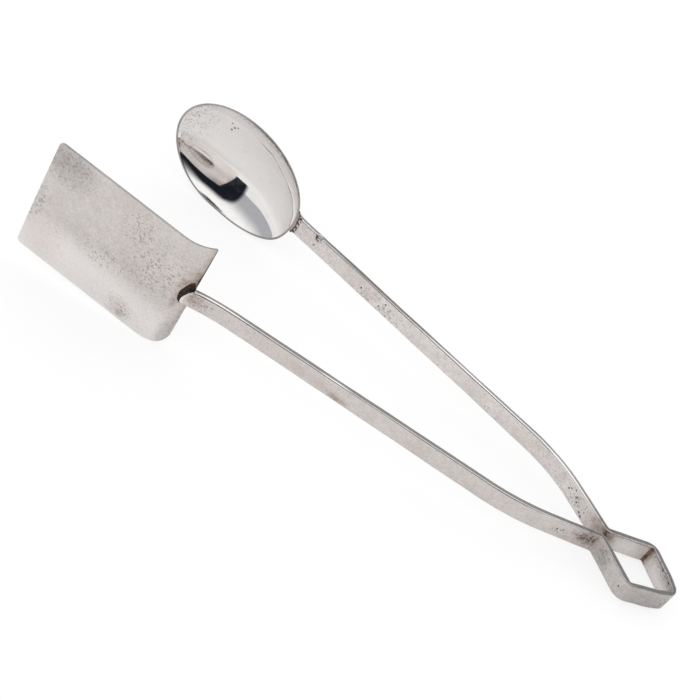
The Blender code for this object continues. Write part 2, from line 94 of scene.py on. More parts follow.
# Mesh of a strip, with its sections crowded at its end
STRAP_ACROSS = 20
STRAP_STEP = 0.32
STRAP_LEAST_STEPS = 12
STRAP_END = 6.0
STRAP_END_STEPS = 22
STRAP_END_CROWDING = 1.7

# Hand-drawn width of a strip, and the places where its edges are rubbed round, each with its length
WIDE_PLACE = -35.0
WIDE = 0.32
NARROW_PLACE = 82.0
NARROW = -0.42
END_WIDTH = -0.25
WORN_ROUND = 0.28
SPOON_WORN_PLACES = ((-22.0, 16.0), (25.0, 28.0), (106.0, 7.0))
SPADE_WORN_PLACES = ((98.0, 16.0), (55.5, 5.0))

# Nick in the spoon arm, and its flared corner at the bowl
NICK_PLACE = 96.1
NICK_LENGTH = 1.15
NICK_DEPTH = 0.9
NICK_DROP = 0.45
NICK_REACH = 1.7
FLARE_HEIGHT = 0.6
FLARE_LENGTH = 1.1

# Spoon bowl
BOWL_LENGTH = 55.2
BOWL_WIDTH = 39.2
BOWL_DEPTH = 8.2
BOWL_WALL = 0.85
BOWL_CAP_ANGLE = radians(66)
BOWL_HEADING = SPOON_SPLAY + radians(-1.3)
BOWL_RIM_STEP = 0.95
BOWL_RIM_WALL = 0.5
BOWL_RIM_ROUND = 0.18
BOWL_RIM_CURL = 0.3
BOWL_SHOULDER = 0.058
BOWL_SHOULDER_ANGLE = radians(37)
BOWL_FLAT = 0.045
BOWL_FLAT_ANGLE = radians(88)
BOWL_SWELL_SPREAD = radians(14)
BOWL_SEGMENTS = 160
BOWL_RINGS = 60
BOWL_LEAN = -0.0155
BOWL_SINK = 0.2
BOWL_SINK_LEVEL = -5.0
BOWL_SINK_REACH = 8.0
BEATING_FADE = 2.0
DENT_PLACE = Vector((-11.0, 8.0))
DENT_REACH = 9.0
BOWL_FLOOR = 10.6
OUTSIDE = 100.0

# Spade blade
BLADE_FLAT_LENGTH = 46.8
BLADE_WIDTH = 41.9
BLADE_DROP = 2.1
BLADE_SHEET = 0.8
BLADE_EDGE_ROUND = 0.22
BLADE_LEAST_FLAT = 0.45
BLADE_HEADING = SPADE_SPLAY + radians(-6.6)
HEEL_RADIUS = 12.3
HEEL_ANGLE = radians(54.7)
HEEL_LENGTH = HEEL_RADIUS * HEEL_ANGLE
BLADE_LENGTH = HEEL_LENGTH + BLADE_FLAT_LENGTH
BLADE_LOW = -BLADE_WIDTH / 2 - BLADE_DROP
BLADE_HIGH = BLADE_WIDTH / 2 - BLADE_DROP
BLADE_FRONT_CORNER = 1.6
BLADE_LOW_HEEL_CORNER = 5.0
BLADE_HIGH_HEEL_CORNER = 0.3
BLADE_STEP = 0.5
BLADE_EDGE_STEPS = 4
LOW_TURN = 0.0014
LOW_TURN_LEVEL = -7.0

# Tongue at the end of the spade arm
TONGUE_DIP = 1.3
TONGUE_DIP_LENGTH = 15.0
TONGUE_OVERLAP = 2.7
TONGUE_HIGH_RADIUS = 4.9
TONGUE_LOW_RADIUS = 2.1
TONGUE_PROUD = 0.6
TONGUE_END_ROUND = 0.8
NOSE_LEAST_FACING = 0.25

# Solder bead around the spoon arm's end
SEAM_RADIUS = 0.3
SEAM_LUMPS = 0.6
SEAM_SIDES = 8
SEAM_ACROSS = 40
SEAM_DEEP = 6
SEAM_SEED = 11.0
SEAM_SETBACK = 0.5
SEAM_LENGTH = 1.1

# Solder fillets
FILLET_STEPS = 8
FILLET_ROWS = 24
FILLET_SEED = 2.0
FILLET_LUMPS = 0.22
FILLET_SAG = 0.22
CORNER_LEG = 0.95
NECK_FILL = 0.85
NECK_SAG = 0.2
TUCK = 0.06

# Wedge of solder around the tongue
PUDDLE_STEPS = 40
PUDDLE_ROWS = 12
PUDDLE_HEIGHT = 0.4
PUDDLE_LEAST_HEIGHT = 0.2
PUDDLE_SKIN = 0.02
PUDDLE_SINK = 0.15
PUDDLE_WIDTH = 3.0
PUDDLE_TOE = 0.3
PUDDLE_TAPER = 2.6
PUDDLE_STOP = radians(130)
PUDDLE_TUCK = 0.4
PUDDLE_EDGE = 0.1
BROWN_TOP_DISTANCE = 2.0
BROWN_TOP_LEVEL = 6.2

# Camera that took the photograph, in the tongs' frame
CAMERA_PLACE = Vector((-28.686, -381.118, 283.673))
CAMERA_TURN = Euler((radians(47.4752), radians(-27.0791), radians(33.1802)))
CAMERA_LENS = 76.58
CAMERA_SENSOR = 36.0
CAMERA_NEAR = 0.01


def tongs_matrix():
    """Tongs' own frame, in millimetres, to the row frame."""
    hinge = next(joint for joint in frame["joints"] if joint["name"] == "spoon_flex")
    lean = Vector((0, 0, 1)).rotation_difference(Vector(hinge["axis"])).to_matrix().to_4x4()
    jaw_line = Matrix.Rotation((SPOON_SPLAY - SPADE_SPLAY) / 2, 4, 'Z')
    return Matrix.Translation(hinge["pos_m"]) @ lean @ jaw_line @ Matrix.Scale(MM, 4)


TO_ROW = tongs_matrix()


# Arithmetic

def clamp(value):
    return min(1.0, max(0.0, value))


def arch(share):
    """Height of a unit circle at a distance from its middle."""
    return sqrt(max(0.0, 1 - share ** 2))


def bell(distance, reach):
    """Smooth hump, 1 in the middle and fading out over its reach."""
    return exp(-(distance / reach) ** 2)


def ripple(along, across, height, lengths, seed):
    """Smooth irregularity of a height, with waves of about the lengths along and across."""
    return height * noise.noise(Vector((along / lengths[0], across / lengths[1], seed)))


def halve(low, high, is_below):
    """Place between low and high up to which is_below holds."""
    for _ in range(HALVINGS):
        middle = (low + high) / 2
        if is_below(middle):
            low = middle
        else:
            high = middle
    return low


# Curves in the plane of the tongs, on the spoon side

def forward(angle):
    """Direction towards the jaws, at an angle from the axis."""
    return Vector((-cos(angle), sin(angle)))


def outward(angle):
    return Vector((sin(angle), cos(angle)))


def line(first, last):
    return lambda share: first.lerp(last, share)


def legs(first, corner, last):
    """Two straight legs through a sharp corner."""
    return lambda share: first.lerp(corner, 2 * share) if share < 0.5 else corner.lerp(last, 2 * share - 1)


def arc(centre, radius, start, stop):
    """Round arc, with angles measured from straight down and growing towards +X."""
    def point(share):
        angle = start + (stop - start) * share
        return centre + radius * Vector((sin(angle), -cos(angle)))
    return point


def swing(centre, first, angle):
    return lambda share: centre + Matrix.Rotation(angle * share, 2) @ (first - centre)


NECK_CENTRE = Vector((0, NECK_GAP / 2 + HALF_STRIP + NECK_BEND_RADIUS))


class Loop:
    """Centreline of one half of the loop."""

    start = NECK_CENTRE + NECK_BEND_RADIUS * Vector((sin(LOOP_FLANK_ANGLE), -cos(LOOP_FLANK_ANGLE)))
    rise = Vector((cos(LOOP_FLANK_ANGLE), sin(LOOP_FLANK_ANGLE)))
    corner = start + rise * (LOOP_CORNER_X - start.x) / rise.x
    fall = (Vector((LOOP_TIP_X, 0)) - corner).normalized()
    rise_normal = Vector((-rise.y, rise.x))
    fall_normal = Vector((-fall.y, fall.x))
    crest = Vector((LOOP_TIP_X + HALF_STRIP / fall_normal.x, 0))
    tip_centre = crest - Vector((LOOP_TIP_RADIUS / fall_normal.x, 0))


def loop_corner(offset):
    normals = Loop.rise_normal + Loop.fall_normal
    return Loop.corner + normals * offset / (1 + Loop.rise_normal.dot(Loop.fall_normal))


def loop_tip(offset, gap):
    point = Vector((LOOP_TIP_X, 0)) + Loop.fall_normal * offset
    return point + Loop.fall * (gap / 2 - point.y) / Loop.fall.y


class Arm:
    """Path of one arm: neck bend, root, bow and straight run."""

    def __init__(self, root_angle, root_run, bow_radius, splay):
        root = NECK_CENTRE - NECK_BEND_RADIUS * outward(root_angle)
        bow_start = root + forward(root_angle) * root_run
        self.root_angle = root_angle
        self.bow_radius = bow_radius
        self.splay = splay
        self.bow_centre = bow_start - outward(root_angle) * bow_radius

    def place(self, distance, offset):
        """Point at a distance along the straight run, offset outwards from the centreline."""
        start = self.bow_centre + outward(self.splay) * (self.bow_radius + offset)
        return start + forward(self.splay) * distance

    def bow(self, offset):
        radius = self.bow_radius + offset
        sweep = self.splay - self.root_angle
        return lambda share: self.bow_centre + radius * outward(self.root_angle + sweep * share)

    def neck(self, offset):
        return arc(NECK_CENTRE, NECK_BEND_RADIUS - offset, LOOP_FLANK_ANGLE, -self.root_angle)


SPOON_ARM = Arm(SPOON_ROOT_ANGLE, SPOON_ROOT_RUN, SPOON_BOW_RADIUS, SPOON_SPLAY)
SPADE_ARM = Arm(SPADE_ROOT_ANGLE, SPADE_ROOT_RUN, SPADE_BOW_RADIUS, SPADE_SPLAY)


# Meshes

def half_ring(width, thickness, rounding, across, deep=2, turn=3):
    """Outer half of a rounded rectangle as (across, deep) pairs, from its high edge to its low edge."""
    flat = thickness / 2 - rounding
    high = [(width / 2, flat * step / deep) for step in range(deep)]
    for step in range(turn + 1):
        angle = pi / 2 * step / turn
        high.append((width / 2 - rounding * (1 - cos(angle)), flat + rounding * sin(angle)))
    span = width / 2 - rounding
    face = [(span - 2 * span * step / across, thickness / 2) for step in range(1, across)]
    return high + face + [(-place, depth) for place, depth in reversed(high)]


def whole_ring(half):
    return half + [(place, -depth) for place, depth in reversed(half[1:-1])]


def strip_caps(first, count):
    """Faces that close a ring made by whole_ring, in strips from its high edge to its low edge."""
    faces = [(first, first + 1, first + count - 1)]
    for step in range(1, count // 2 - 1):
        faces.append((first + step, first + step + 1, first + count - step - 1, first + count - step))
    middle = first + count // 2
    faces.append((middle - 1, middle, middle + 1))
    return faces


def tube_faces(rows, count, closed=False):
    faces = []
    for row in range(rows if closed else rows - 1):
        low = row * count
        high = (row + 1) % rows * count
        for column in range(count):
            after = (column + 1) % count
            faces.append((low + column, low + after, high + after, high + column))
    return faces


def face_out(mesh):
    """Turn all faces outwards; each mesh here is one closed body with its faces wound alike."""
    mesh.update()
    volume = 0.0
    for polygon in mesh.polygons:
        volume += polygon.center.dot(polygon.normal) * polygon.area
    if volume < 0:
        mesh.flip_normals()


def add_piece(name, points, faces, flat, sharp=radians(40)):
    """Mesh object from points in the tongs' frame; flat holds each point's place for the materials."""
    mesh = bpy.data.meshes.new(name)
    mesh.from_pydata([TO_ROW @ Vector(point) for point in points], [], faces)
    mesh.validate()
    places = mesh.attributes.new("flat", 'FLOAT_VECTOR', 'POINT')
    places.data.foreach_set("vector", [value for place in flat for value in place])
    piece = bpy.data.objects.new(name, mesh)
    bpy.context.scene.collection.objects.link(piece)
    face_out(mesh)
    mesh.shade_smooth()
    mesh.set_sharp_from_angle(angle=sharp)
    return piece


def add_bar(name, points, count, flat):
    """Closed piece from rows of count points that whole_ring laid out."""
    rows = len(points) // count
    faces = tube_faces(rows, count)
    faces += [tuple(reversed(face)) for face in strip_caps(0, count)]
    faces += strip_caps((rows - 1) * count, count)
    return add_piece(name, points, faces, flat)


# Strips, each one bar from the loop's tip to the bowl or the blade

def wrought(along, across, seed):
    """Hand-worked unevenness of a strip's faces, in millimetres."""
    long_wave = ripple(along, across, 0.05, (23, 30), seed)
    short_wave = ripple(along, across, 0.012, (4.5, 4), seed + 7.3)
    return long_wave + short_wave


def edge_wear(along, level, seed):
    """Unevenness of a strip's high or low edge, in millimetres."""
    return ripple(along, level, 0.05, (12, 1 / 3.1), seed) + ripple(along, level, 0.02, (2.2, 1 / 5.7), seed)


def strap_width(along):
    """Width of the hand-drawn strip, wide at the neck and the loop and narrow before its end."""
    share = clamp((along - WIDE_PLACE) / (NARROW_PLACE - WIDE_PLACE))
    share = share * share * (3 - 2 * share)
    end = clamp((along - NARROW_PLACE) / (ARM_STRAIGHT - NARROW_PLACE))
    return STRIP_WIDTH + WIDE + (NARROW - WIDE) * share + (END_WIDTH - NARROW) * end * end


def strap_runs(arm):
    """Inner and outer edge of the strip in runs from the loop's tip to the arm's straight end."""
    outer_corner = loop_corner(HALF_STRIP)
    opening = (-Loop.fall).angle(-Loop.rise)
    half = (pi - Loop.rise.angle(Loop.fall)) / 2
    tangent = LOOP_CORNER_RADIUS / tan(half)
    bend_start = outer_corner + Loop.fall * tangent
    bend_stop = outer_corner - Loop.rise * tangent
    centre = bend_start - Loop.fall_normal * LOOP_CORNER_RADIUS
    inner_start = bend_start - Loop.fall_normal * STRIP_THICKNESS
    inner_stop = bend_stop - Loop.rise_normal * STRIP_THICKNESS
    mitre = pi / 2 + asin(TIP_SEAM / 2 / LOOP_TIP_RADIUS)
    fall_turn = pi / 2 + atan2(Loop.fall_normal.y, Loop.fall_normal.x)
    tip_outer = arc(Loop.tip_centre, LOOP_TIP_RADIUS, mitre, fall_turn)
    tip_inner = loop_tip(INNER, TIP_SEAM)
    below_tip = tip_outer(1) - Loop.fall_normal * STRIP_THICKNESS
    neck_in = arm.neck(INNER)
    neck_out = arm.neck(OUTER)
    bow_in = arm.bow(INNER)
    bow_out = arm.bow(OUTER)
    last = ARM_STRAIGHT - STRAP_END
    return [
        (line(tip_inner, below_tip), tip_outer),
        (line(below_tip, inner_start), line(tip_outer(1), bend_start)),
        (legs(inner_start, loop_corner(INNER), inner_stop), swing(centre, bend_start, opening)),
        (line(inner_stop, neck_in(0)), line(bend_stop, neck_out(0))),
        (neck_in, neck_out),
        (line(neck_in(1), bow_in(0)), line(neck_out(1), bow_out(0))),
        (bow_in, bow_out),
        (line(bow_in(1), arm.place(last, INNER)), line(bow_out(1), arm.place(last, OUTER))),
    ]


def run_length(run, steps=40):
    """Length of a run's middle line."""
    middles = [(run[0](step / steps) + run[1](step / steps)) / 2 for step in range(steps + 1)]
    return sum((after - before).length for before, after in zip(middles, middles[1:]))


def strap_sections(arm):
    """Sections of a strip, each its place, its inner and outer edge and its share of the end's reach."""
    sections = []
    runs = strap_runs(arm)
    lengths = [run_length(run) for run in runs]
    along = ARM_STRAIGHT - STRAP_END - sum(lengths)
    for number, (run, length) in enumerate(zip(runs, lengths)):
        steps = max(STRAP_LEAST_STEPS, 2 * round(length / STRAP_STEP / 2))
        first = 0 if number == 0 else 1
        for step in range(first, steps + 1):
            share = step / steps
            sections.append((along + length * share, run[0](share), run[1](share), 0.0))
        along += length
    for step in range(1, STRAP_END_STEPS + 1):
        share = 1 - (1 - step / STRAP_END_STEPS) ** STRAP_END_CROWDING
        sections.append((along, arm.place(along, INNER), arm.place(along, OUTER), share))
    return sections


def strap(name, arm, side, reach, seed, shape, worn_places):
    """One strip as a closed mesh. reach gives where its end lies, and shape adds its own marks."""
    points = []
    flat = []
    heading = forward(arm.splay)
    for place, inner, outer, end_share in strap_sections(arm):
        worn = WORN_ROUND * sum(bell(place - spot, length) for spot, length in worn_places)
        rounding = (STRIP_EDGE_ROUND + worn) * (1 + ripple(place, 0.0, 0.3, (14, 1), seed + 3.7))
        ring = whole_ring(half_ring(strap_width(place), STRIP_THICKNESS, rounding, STRAP_ACROSS))
        normal = (outer - inner).normalized()
        for across, depth in ring:
            extra = end_share * (reach(across, depth) - place) if end_share else 0.0
            spot = place + extra
            fade = clamp((ARM_STRAIGHT - spot) / STRAP_END)
            bow = LOOP_BOW * bell(spot - LOOP_BOW_PLACE, LOOP_BOW_REACH)
            push, lift = shape(spot, across, depth)
            point = inner.lerp(outer, 0.5 + depth / STRIP_THICKNESS) + heading * extra
            point = point + normal * (wrought(spot, across, seed) * fade + bow + push)
            height = across + edge_wear(spot, across, seed) * across / STRIP_WIDTH * 2
            points.append((point.x, side * point.y, height + lift))
            flat.append((spot, across, depth))
    return add_bar(name, points, len(ring), flat)


# Bowl

def bowl_radii():
    """Half axes of the ellipsoid that the bowl's outer face is a cap of: along, deep and across."""
    along = BOWL_LENGTH / 2 / sin(BOWL_CAP_ANGLE)
    deep = BOWL_DEPTH / (1 - cos(BOWL_CAP_ANGLE))
    across = BOWL_WIDTH / 2 / sin(BOWL_CAP_ANGLE)
    return Vector((along, deep, across))


BOWL_AXES = bowl_radii()
BOWL_LIFT = BOWL_AXES.y * cos(BOWL_CAP_ANGLE)
BOWL_RIM_CENTRE = (
    SPOON_ARM.place(ARM_STRAIGHT, BOWL_RIM_STEP - HALF_STRIP) + forward(BOWL_HEADING) * BOWL_LENGTH / 2
)
BOWL_CENTRE = BOWL_RIM_CENTRE - outward(BOWL_HEADING) * BOWL_LIFT


def spoon_reach(across, depth):
    """Distance along the spoon arm at which a line of its section meets the bowl's back."""
    start = SPOON_ARM.place(0, depth) - BOWL_CENTRE
    axes = BOWL_AXES
    ahead = forward(BOWL_HEADING)
    out = outward(BOWL_HEADING)
    heading = forward(SPOON_SPLAY)
    place = Vector((start.dot(ahead) / axes.x, start.dot(out) / axes.y, across / axes.z))
    step = Vector((heading.dot(ahead) / axes.x, heading.dot(out) / axes.y, 0))
    a = step.length_squared
    b = place.dot(step)
    c = place.length_squared - 1
    return (-b - sqrt(max(0.0, b * b - a * c))) / a


def spoon_marks(along, across, depth):
    """Nick in the high inner edge near the bowl, and the corner that flares up at the joint."""
    high = max(0.0, across / STRIP_WIDTH * 2)
    inside = clamp(0.5 - depth / STRIP_THICKNESS)
    below = max(0.0, STRIP_WIDTH / 2 - across) / NICK_REACH
    nick = exp(-((along - NICK_PLACE) / NICK_LENGTH) ** 4 - below ** 4) * inside ** 2
    flare = exp(-max(0.0, ARM_STRAIGHT - along) / FLARE_LENGTH)
    return NICK_DEPTH * nick, FLARE_HEIGHT * flare * high ** 3 - NICK_DROP * nick


def bowl_swell(around):
    """Hand-beaten outline of the bowl: a full shoulder below the arm and a flatter bottom."""
    turn = atan2(-sin(around), -cos(around))
    spread = BOWL_SWELL_SPREAD * sqrt(2)
    shoulder = BOWL_SHOULDER * bell(turn - BOWL_SHOULDER_ANGLE, spread)
    return 1 + shoulder - BOWL_FLAT * bell(turn - BOWL_FLAT_ANGLE, spread)


def bowl_point(angle, around, depth):
    """Point on the bowl's outer form, in its own axes, sunk by a depth into the wall."""
    axes = BOWL_AXES
    unit = Vector((sin(angle) * cos(around), cos(angle), sin(angle) * sin(around)))
    point = Vector((unit.x * axes.x, unit.y * axes.y, unit.z * axes.z))
    normal = Vector((unit.x / axes.x, unit.y / axes.y, unit.z / axes.z)).normalized()
    sunk = point - normal * depth
    swell = bowl_swell(around)
    return Vector((sunk.x * swell, sunk.y, sunk.z * swell))


def bowl_wall(share):
    """Thickness of the wall, drawn thin towards the rim."""
    return BOWL_WALL + (BOWL_RIM_WALL - BOWL_WALL) * share ** 4


def rim_angle(around, depth, level):
    """Angle at which the face at a depth comes up to a level above the ellipsoid's centre."""
    return halve(0.0, pi / 2, lambda angle: bowl_point(angle, around, depth).y > level)


def rim_curve(start, edge, stop, shares):
    """Rounded corner from start to stop, drawn towards the edge between them."""
    return [start.lerp(edge, share).lerp(edge.lerp(stop, share), share) for share in shares]


def bowl_profile(around):
    """One meridian of the bowl, from the inner face's pole over the rim to the outer face's pole."""
    inner_top = rim_angle(around, BOWL_RIM_WALL, BOWL_LIFT + BOWL_RIM_ROUND)
    outer_top = rim_angle(around, 0.0, BOWL_LIFT + BOWL_RIM_ROUND)
    shares = [ring / BOWL_RINGS for ring in range(1, BOWL_RINGS + 1)]
    inner = [bowl_point(inner_top * share, around, bowl_wall(share)) for share in shares]
    outer = [bowl_point(outer_top * share, around, 0.0) for share in reversed(shares)]
    edge_in = bowl_point(rim_angle(around, BOWL_RIM_WALL, BOWL_LIFT), around, BOWL_RIM_WALL)
    edge_out = bowl_point(rim_angle(around, 0.0, BOWL_LIFT), around, 0.0)
    flat_in = edge_in.lerp(edge_out, BOWL_RIM_CURL)
    flat_out = edge_out.lerp(edge_in, BOWL_RIM_CURL)
    rim = rim_curve(inner[-1], edge_in, flat_in, (0.25, 0.5, 0.75, 1.0))
    rim += rim_curve(flat_out, edge_out, outer[0], (0.0, 0.25, 0.5, 0.75))
    return inner + rim + outer


def bowl_beating(place):
    """Hammered unevenness of the bowl, with shallow dents at its high rear, in millimetres."""
    even = ripple(place.x, place.z, 0.02, (9, 9), 4.0) + ripple(place.x, place.z, 0.006, (4, 4), 9.0)
    away = (Vector((place.x, place.z)) - DENT_PLACE).length
    return even + ripple(place.x, place.z, 0.16, (6, 6), 14.0) * bell(away, DENT_REACH)


def spoon_bowl():
    meridians = [bowl_profile(2 * pi * segment / BOWL_SEGMENTS) for segment in range(BOWL_SEGMENTS)]
    rows = len(meridians[0])
    own = [bowl_point(0.0, 0.0, BOWL_WALL)]
    own += [meridian[row] for row in range(rows) for meridian in meridians]
    own.append(bowl_point(0.0, 0.0, 0.0))
    points = []
    flat = []
    for number, place in enumerate(own):
        is_inside = (number - 1) // BOWL_SEGMENTS < BOWL_RINGS
        deep = place.y + bowl_beating(place) * clamp((place.y - BOWL_LIFT) / BEATING_FADE)
        if is_inside:
            edge = (2 * place.x / BOWL_LENGTH) ** 2 + (2 * place.z / BOWL_WIDTH) ** 2
            sunk = BOWL_SINK * bell(place.z - BOWL_SINK_LEVEL, BOWL_SINK_REACH)
            deep += (BOWL_LEAN * place.x + sunk) * max(0.0, 1 - edge)
        spot = BOWL_CENTRE + forward(BOWL_HEADING) * place.x + outward(BOWL_HEADING) * deep
        points.append((spot.x, spot.y, place.z))
        flat.append((place.x, place.z, place.y if is_inside else place.y + OUTSIDE))
    last = len(points) - 1
    top = last - BOWL_SEGMENTS
    faces = []
    for segment in range(BOWL_SEGMENTS):
        after = (segment + 1) % BOWL_SEGMENTS
        faces.append((0, 1 + after, 1 + segment))
        faces.append((last, top + segment, top + after))
    for face in tube_faces(rows, BOWL_SEGMENTS):
        faces.append(tuple(1 + number for number in face))
    return add_piece("bowl_shell", points, faces, flat)


# Blade, and the tongue that lies on its heel

def blade_place(distance, depth):
    """Place on the bent blade in the tongs' plane; distance runs on its outer face from the heel's edge."""
    turned = HEEL_ANGLE * max(0.0, 1 - distance / HEEL_LENGTH)
    flat = max(0.0, distance - HEEL_LENGTH)
    radius = HEEL_RADIUS - depth
    x = radius * sin(turned) - HEEL_RADIUS * sin(HEEL_ANGLE) - flat
    y = HEEL_RADIUS * cos(HEEL_ANGLE) - radius * cos(turned)
    edge = SPADE_ARM.place(ARM_STRAIGHT, INNER)
    return Vector((edge.x, -edge.y)) + Matrix.Rotation(BLADE_HEADING, 2) @ Vector((x, y))


HEEL_CENTRE = blade_place(0.0, HEEL_RADIUS)


def heel_level(ahead):
    """How far the heel's outer face stands outwards from the spade strip's middle, ahead of its end."""
    start = SPADE_ARM.place(ARM_STRAIGHT + ahead, 0.0) - Vector((HEEL_CENTRE.x, -HEEL_CENTRE.y))
    along = start.dot(forward(SPADE_SPLAY))
    return sqrt(HEEL_RADIUS ** 2 - along ** 2) - start.dot(outward(SPADE_SPLAY))


def heel_reach(depth):
    """How far ahead the heel's outer face comes up to a depth of the spade strip."""
    return halve(0.0, TONGUE_OVERLAP, lambda ahead: heel_level(ahead) < depth)


def heel_distance(ahead):
    """Distance on the heel's outer face that lies ahead of the spade strip's end."""
    edge = SPADE_ARM.place(ARM_STRAIGHT, 0.0)
    heading = forward(SPADE_SPLAY)

    def is_below(distance):
        spot = blade_place(distance, 0.0)
        return (Vector((spot.x, -spot.y)) - edge).dot(heading) < ahead

    return halve(0.0, HEEL_LENGTH, is_below)


def nose_corners(across):
    """How far into the nose's high and low corner a height lies, as shares of their radii."""
    high = max(0.0, across - STRIP_WIDTH / 2 + TONGUE_HIGH_RADIUS) / TONGUE_HIGH_RADIUS
    low = max(0.0, -across - STRIP_WIDTH / 2 + TONGUE_LOW_RADIUS) / TONGUE_LOW_RADIUS
    return high, low


def tongue_nose(across):
    """How far ahead the tongue's round nose reaches."""
    high, low = nose_corners(across)
    return TONGUE_OVERLAP - TONGUE_HIGH_RADIUS * (1 - arch(high)) - TONGUE_LOW_RADIUS * (1 - arch(low))


def nose_facing(across):
    """How squarely the nose's outline faces ahead: 1 at its front, less around its corners."""
    return max(NOSE_LEAST_FACING, arch(max(nose_corners(across))))


def nose_outline(angle, inset=0.0):
    """How far ahead and how high the nose's outline lies, at an angle from straight up."""
    is_high = angle < pi / 2
    radius = TONGUE_HIGH_RADIUS if is_high else TONGUE_LOW_RADIUS
    middle = STRIP_WIDTH / 2 - radius if is_high else radius - STRIP_WIDTH / 2
    ahead = TONGUE_OVERLAP - radius + (radius - inset) * sin(angle)
    return ahead, middle + (radius - inset) * cos(angle)


def tongue_reach(across, depth):
    """Distance along the spade arm at which a line of its section ends, in the heel or at the nose."""
    nose = tongue_nose(across)
    inside = min(nose, heel_reach(depth))
    return ARM_STRAIGHT + max(0.0, inside + (nose - inside) * max(0.0, depth / HALF_STRIP))


def tongue_dip(along):
    return TONGUE_DIP * max(0.0, (along - ARM_STRAIGHT + TONGUE_DIP_LENGTH) / TONGUE_DIP_LENGTH) ** 2


def spade_marks(along, across, depth):
    """Dip of the strip's end, and its round nose lying on the heel."""
    ahead = max(0.0, along - ARM_STRAIGHT)
    raised = max(0.0, heel_level(ahead) + TONGUE_PROUD - HALF_STRIP)
    left = max(0.0, ARM_STRAIGHT + tongue_nose(across) - along) * nose_facing(across)
    blunt = TONGUE_PROUD * (1 - arch(max(0.0, 1 - left / TONGUE_END_ROUND)))
    return max(0.0, depth / HALF_STRIP) * (raised - blunt), -tongue_dip(along)


def corner_cut(distance, radius):
    """How far a rounded corner draws the side in, at a distance from the end."""
    return radius * (1 - arch(max(0.0, 1 - distance / radius)))


def blade_sides(distance):
    front = corner_cut(BLADE_LENGTH - distance, BLADE_FRONT_CORNER)
    low = BLADE_LOW + corner_cut(distance, BLADE_LOW_HEEL_CORNER) + front
    high = BLADE_HIGH - corner_cut(distance, BLADE_HIGH_HEEL_CORNER) - front
    return low, high


def blade_stations():
    """Distances from the heel's edge, close together at both ends, each with what the sheet lacks there."""
    stations = []
    for step in range(BLADE_EDGE_STEPS + 1):
        angle = pi / 2 * step / BLADE_EDGE_STEPS
        stations.append((BLADE_EDGE_ROUND * (1 - cos(angle)), BLADE_EDGE_ROUND * (1 - sin(angle))))
    start = BLADE_EDGE_ROUND
    stop = BLADE_LENGTH - BLADE_EDGE_ROUND
    steps = round((stop - start) / BLADE_STEP)
    middle = [(start + (stop - start) * step / steps, 0.0) for step in range(1, steps)]
    return stations + middle + [(BLADE_LENGTH - place, thin) for place, thin in reversed(stations)]


def blade_warp(distance, across):
    """Unevenness of the blade and the slight turn of its low third, towards the spoon, in millimetres."""
    low_turn = LOW_TURN * max(0.0, LOW_TURN_LEVEL - across) ** 2
    long_wave = ripple(distance, across, 0.10, (26, 26), 2.2)
    planishing = ripple(distance, across, 0.016, (4.2, 4.2), 6.1)
    grip = min(1.0, distance / HEEL_LENGTH)
    return grip * (low_turn + long_wave) + planishing


def spade_blade():
    points = []
    flat = []
    inwards = Matrix.Rotation(BLADE_HEADING, 2) @ Vector((0, 1))
    across_steps = round(BLADE_WIDTH / BLADE_STEP)
    for distance, thin in blade_stations():
        low, high = blade_sides(distance)
        thickness = BLADE_SHEET - 2 * thin
        rounding = min(BLADE_EDGE_ROUND, BLADE_LEAST_FLAT * thickness)
        ring = whole_ring(half_ring(high - low, thickness, rounding, across_steps, deep=1))
        for across, depth in ring:
            height = across + (low + high) / 2
            spot = blade_place(distance, BLADE_SHEET / 2 - depth) + inwards * blade_warp(distance, height)
            points.append((spot.x, spot.y, height))
            flat.append((distance, height, depth))
    return add_bar("blade_sheet", points, len(ring), flat)


# Solder

def bowl_seam():
    """Lumpy bead of solder around the spoon arm's end, lying against the bowl."""
    path = []
    half = half_ring(STRIP_WIDTH, STRIP_THICKNESS, STRIP_EDGE_ROUND, SEAM_ACROSS, deep=SEAM_DEEP)
    for across, depth in whole_ring(half):
        spot = SPOON_ARM.place(spoon_reach(across, depth), depth)
        lift = spoon_marks(ARM_STRAIGHT, across, depth)[1]
        path.append(Vector((spot.x, spot.y, across + lift)))
    middle = sum(path, Vector((0, 0, 0))) / len(path)
    backwards = -forward(SPOON_SPLAY).to_3d()
    points = []
    for place in path:
        side = place - middle
        side = (side - backwards * side.dot(backwards)).normalized()
        size = SEAM_RADIUS * (1 + ripple(place.y, place.z, SEAM_LUMPS, (1 / 1.3, 1 / 1.3), SEAM_SEED))
        for step in range(SEAM_SIDES):
            angle = 2 * pi * step / SEAM_SIDES
            back = backwards * size * (SEAM_SETBACK + SEAM_LENGTH * cos(angle))
            points.append(tuple(place + back + side * size * sin(angle)))
    return add_piece("bowl_seam", points, tube_faces(len(path), SEAM_SIDES, closed=True), points)


def fillet_piece(name, outline, side, seed, sunk):
    """Solder fillet across the strips, sunk at its high end; outline gives its section for a size."""
    low = STRIP_EDGE_ROUND - STRIP_WIDTH / 2
    height = STRIP_WIDTH - 2 * STRIP_EDGE_ROUND - sunk
    points = []
    for row in range(FILLET_ROWS + 1):
        level = low + height * row / FILLET_ROWS
        section = outline(1 + ripple(level, 0.0, FILLET_LUMPS, (1.3, 1), seed))
        points += [(place.x, side * place.y, level) for place in section]
    count = len(section)
    faces = tube_faces(FILLET_ROWS + 1, count)
    faces.append(tuple(reversed(range(count))))
    faces.append(tuple(FILLET_ROWS * count + number for number in range(count)))
    return add_piece(name, points, faces, points)


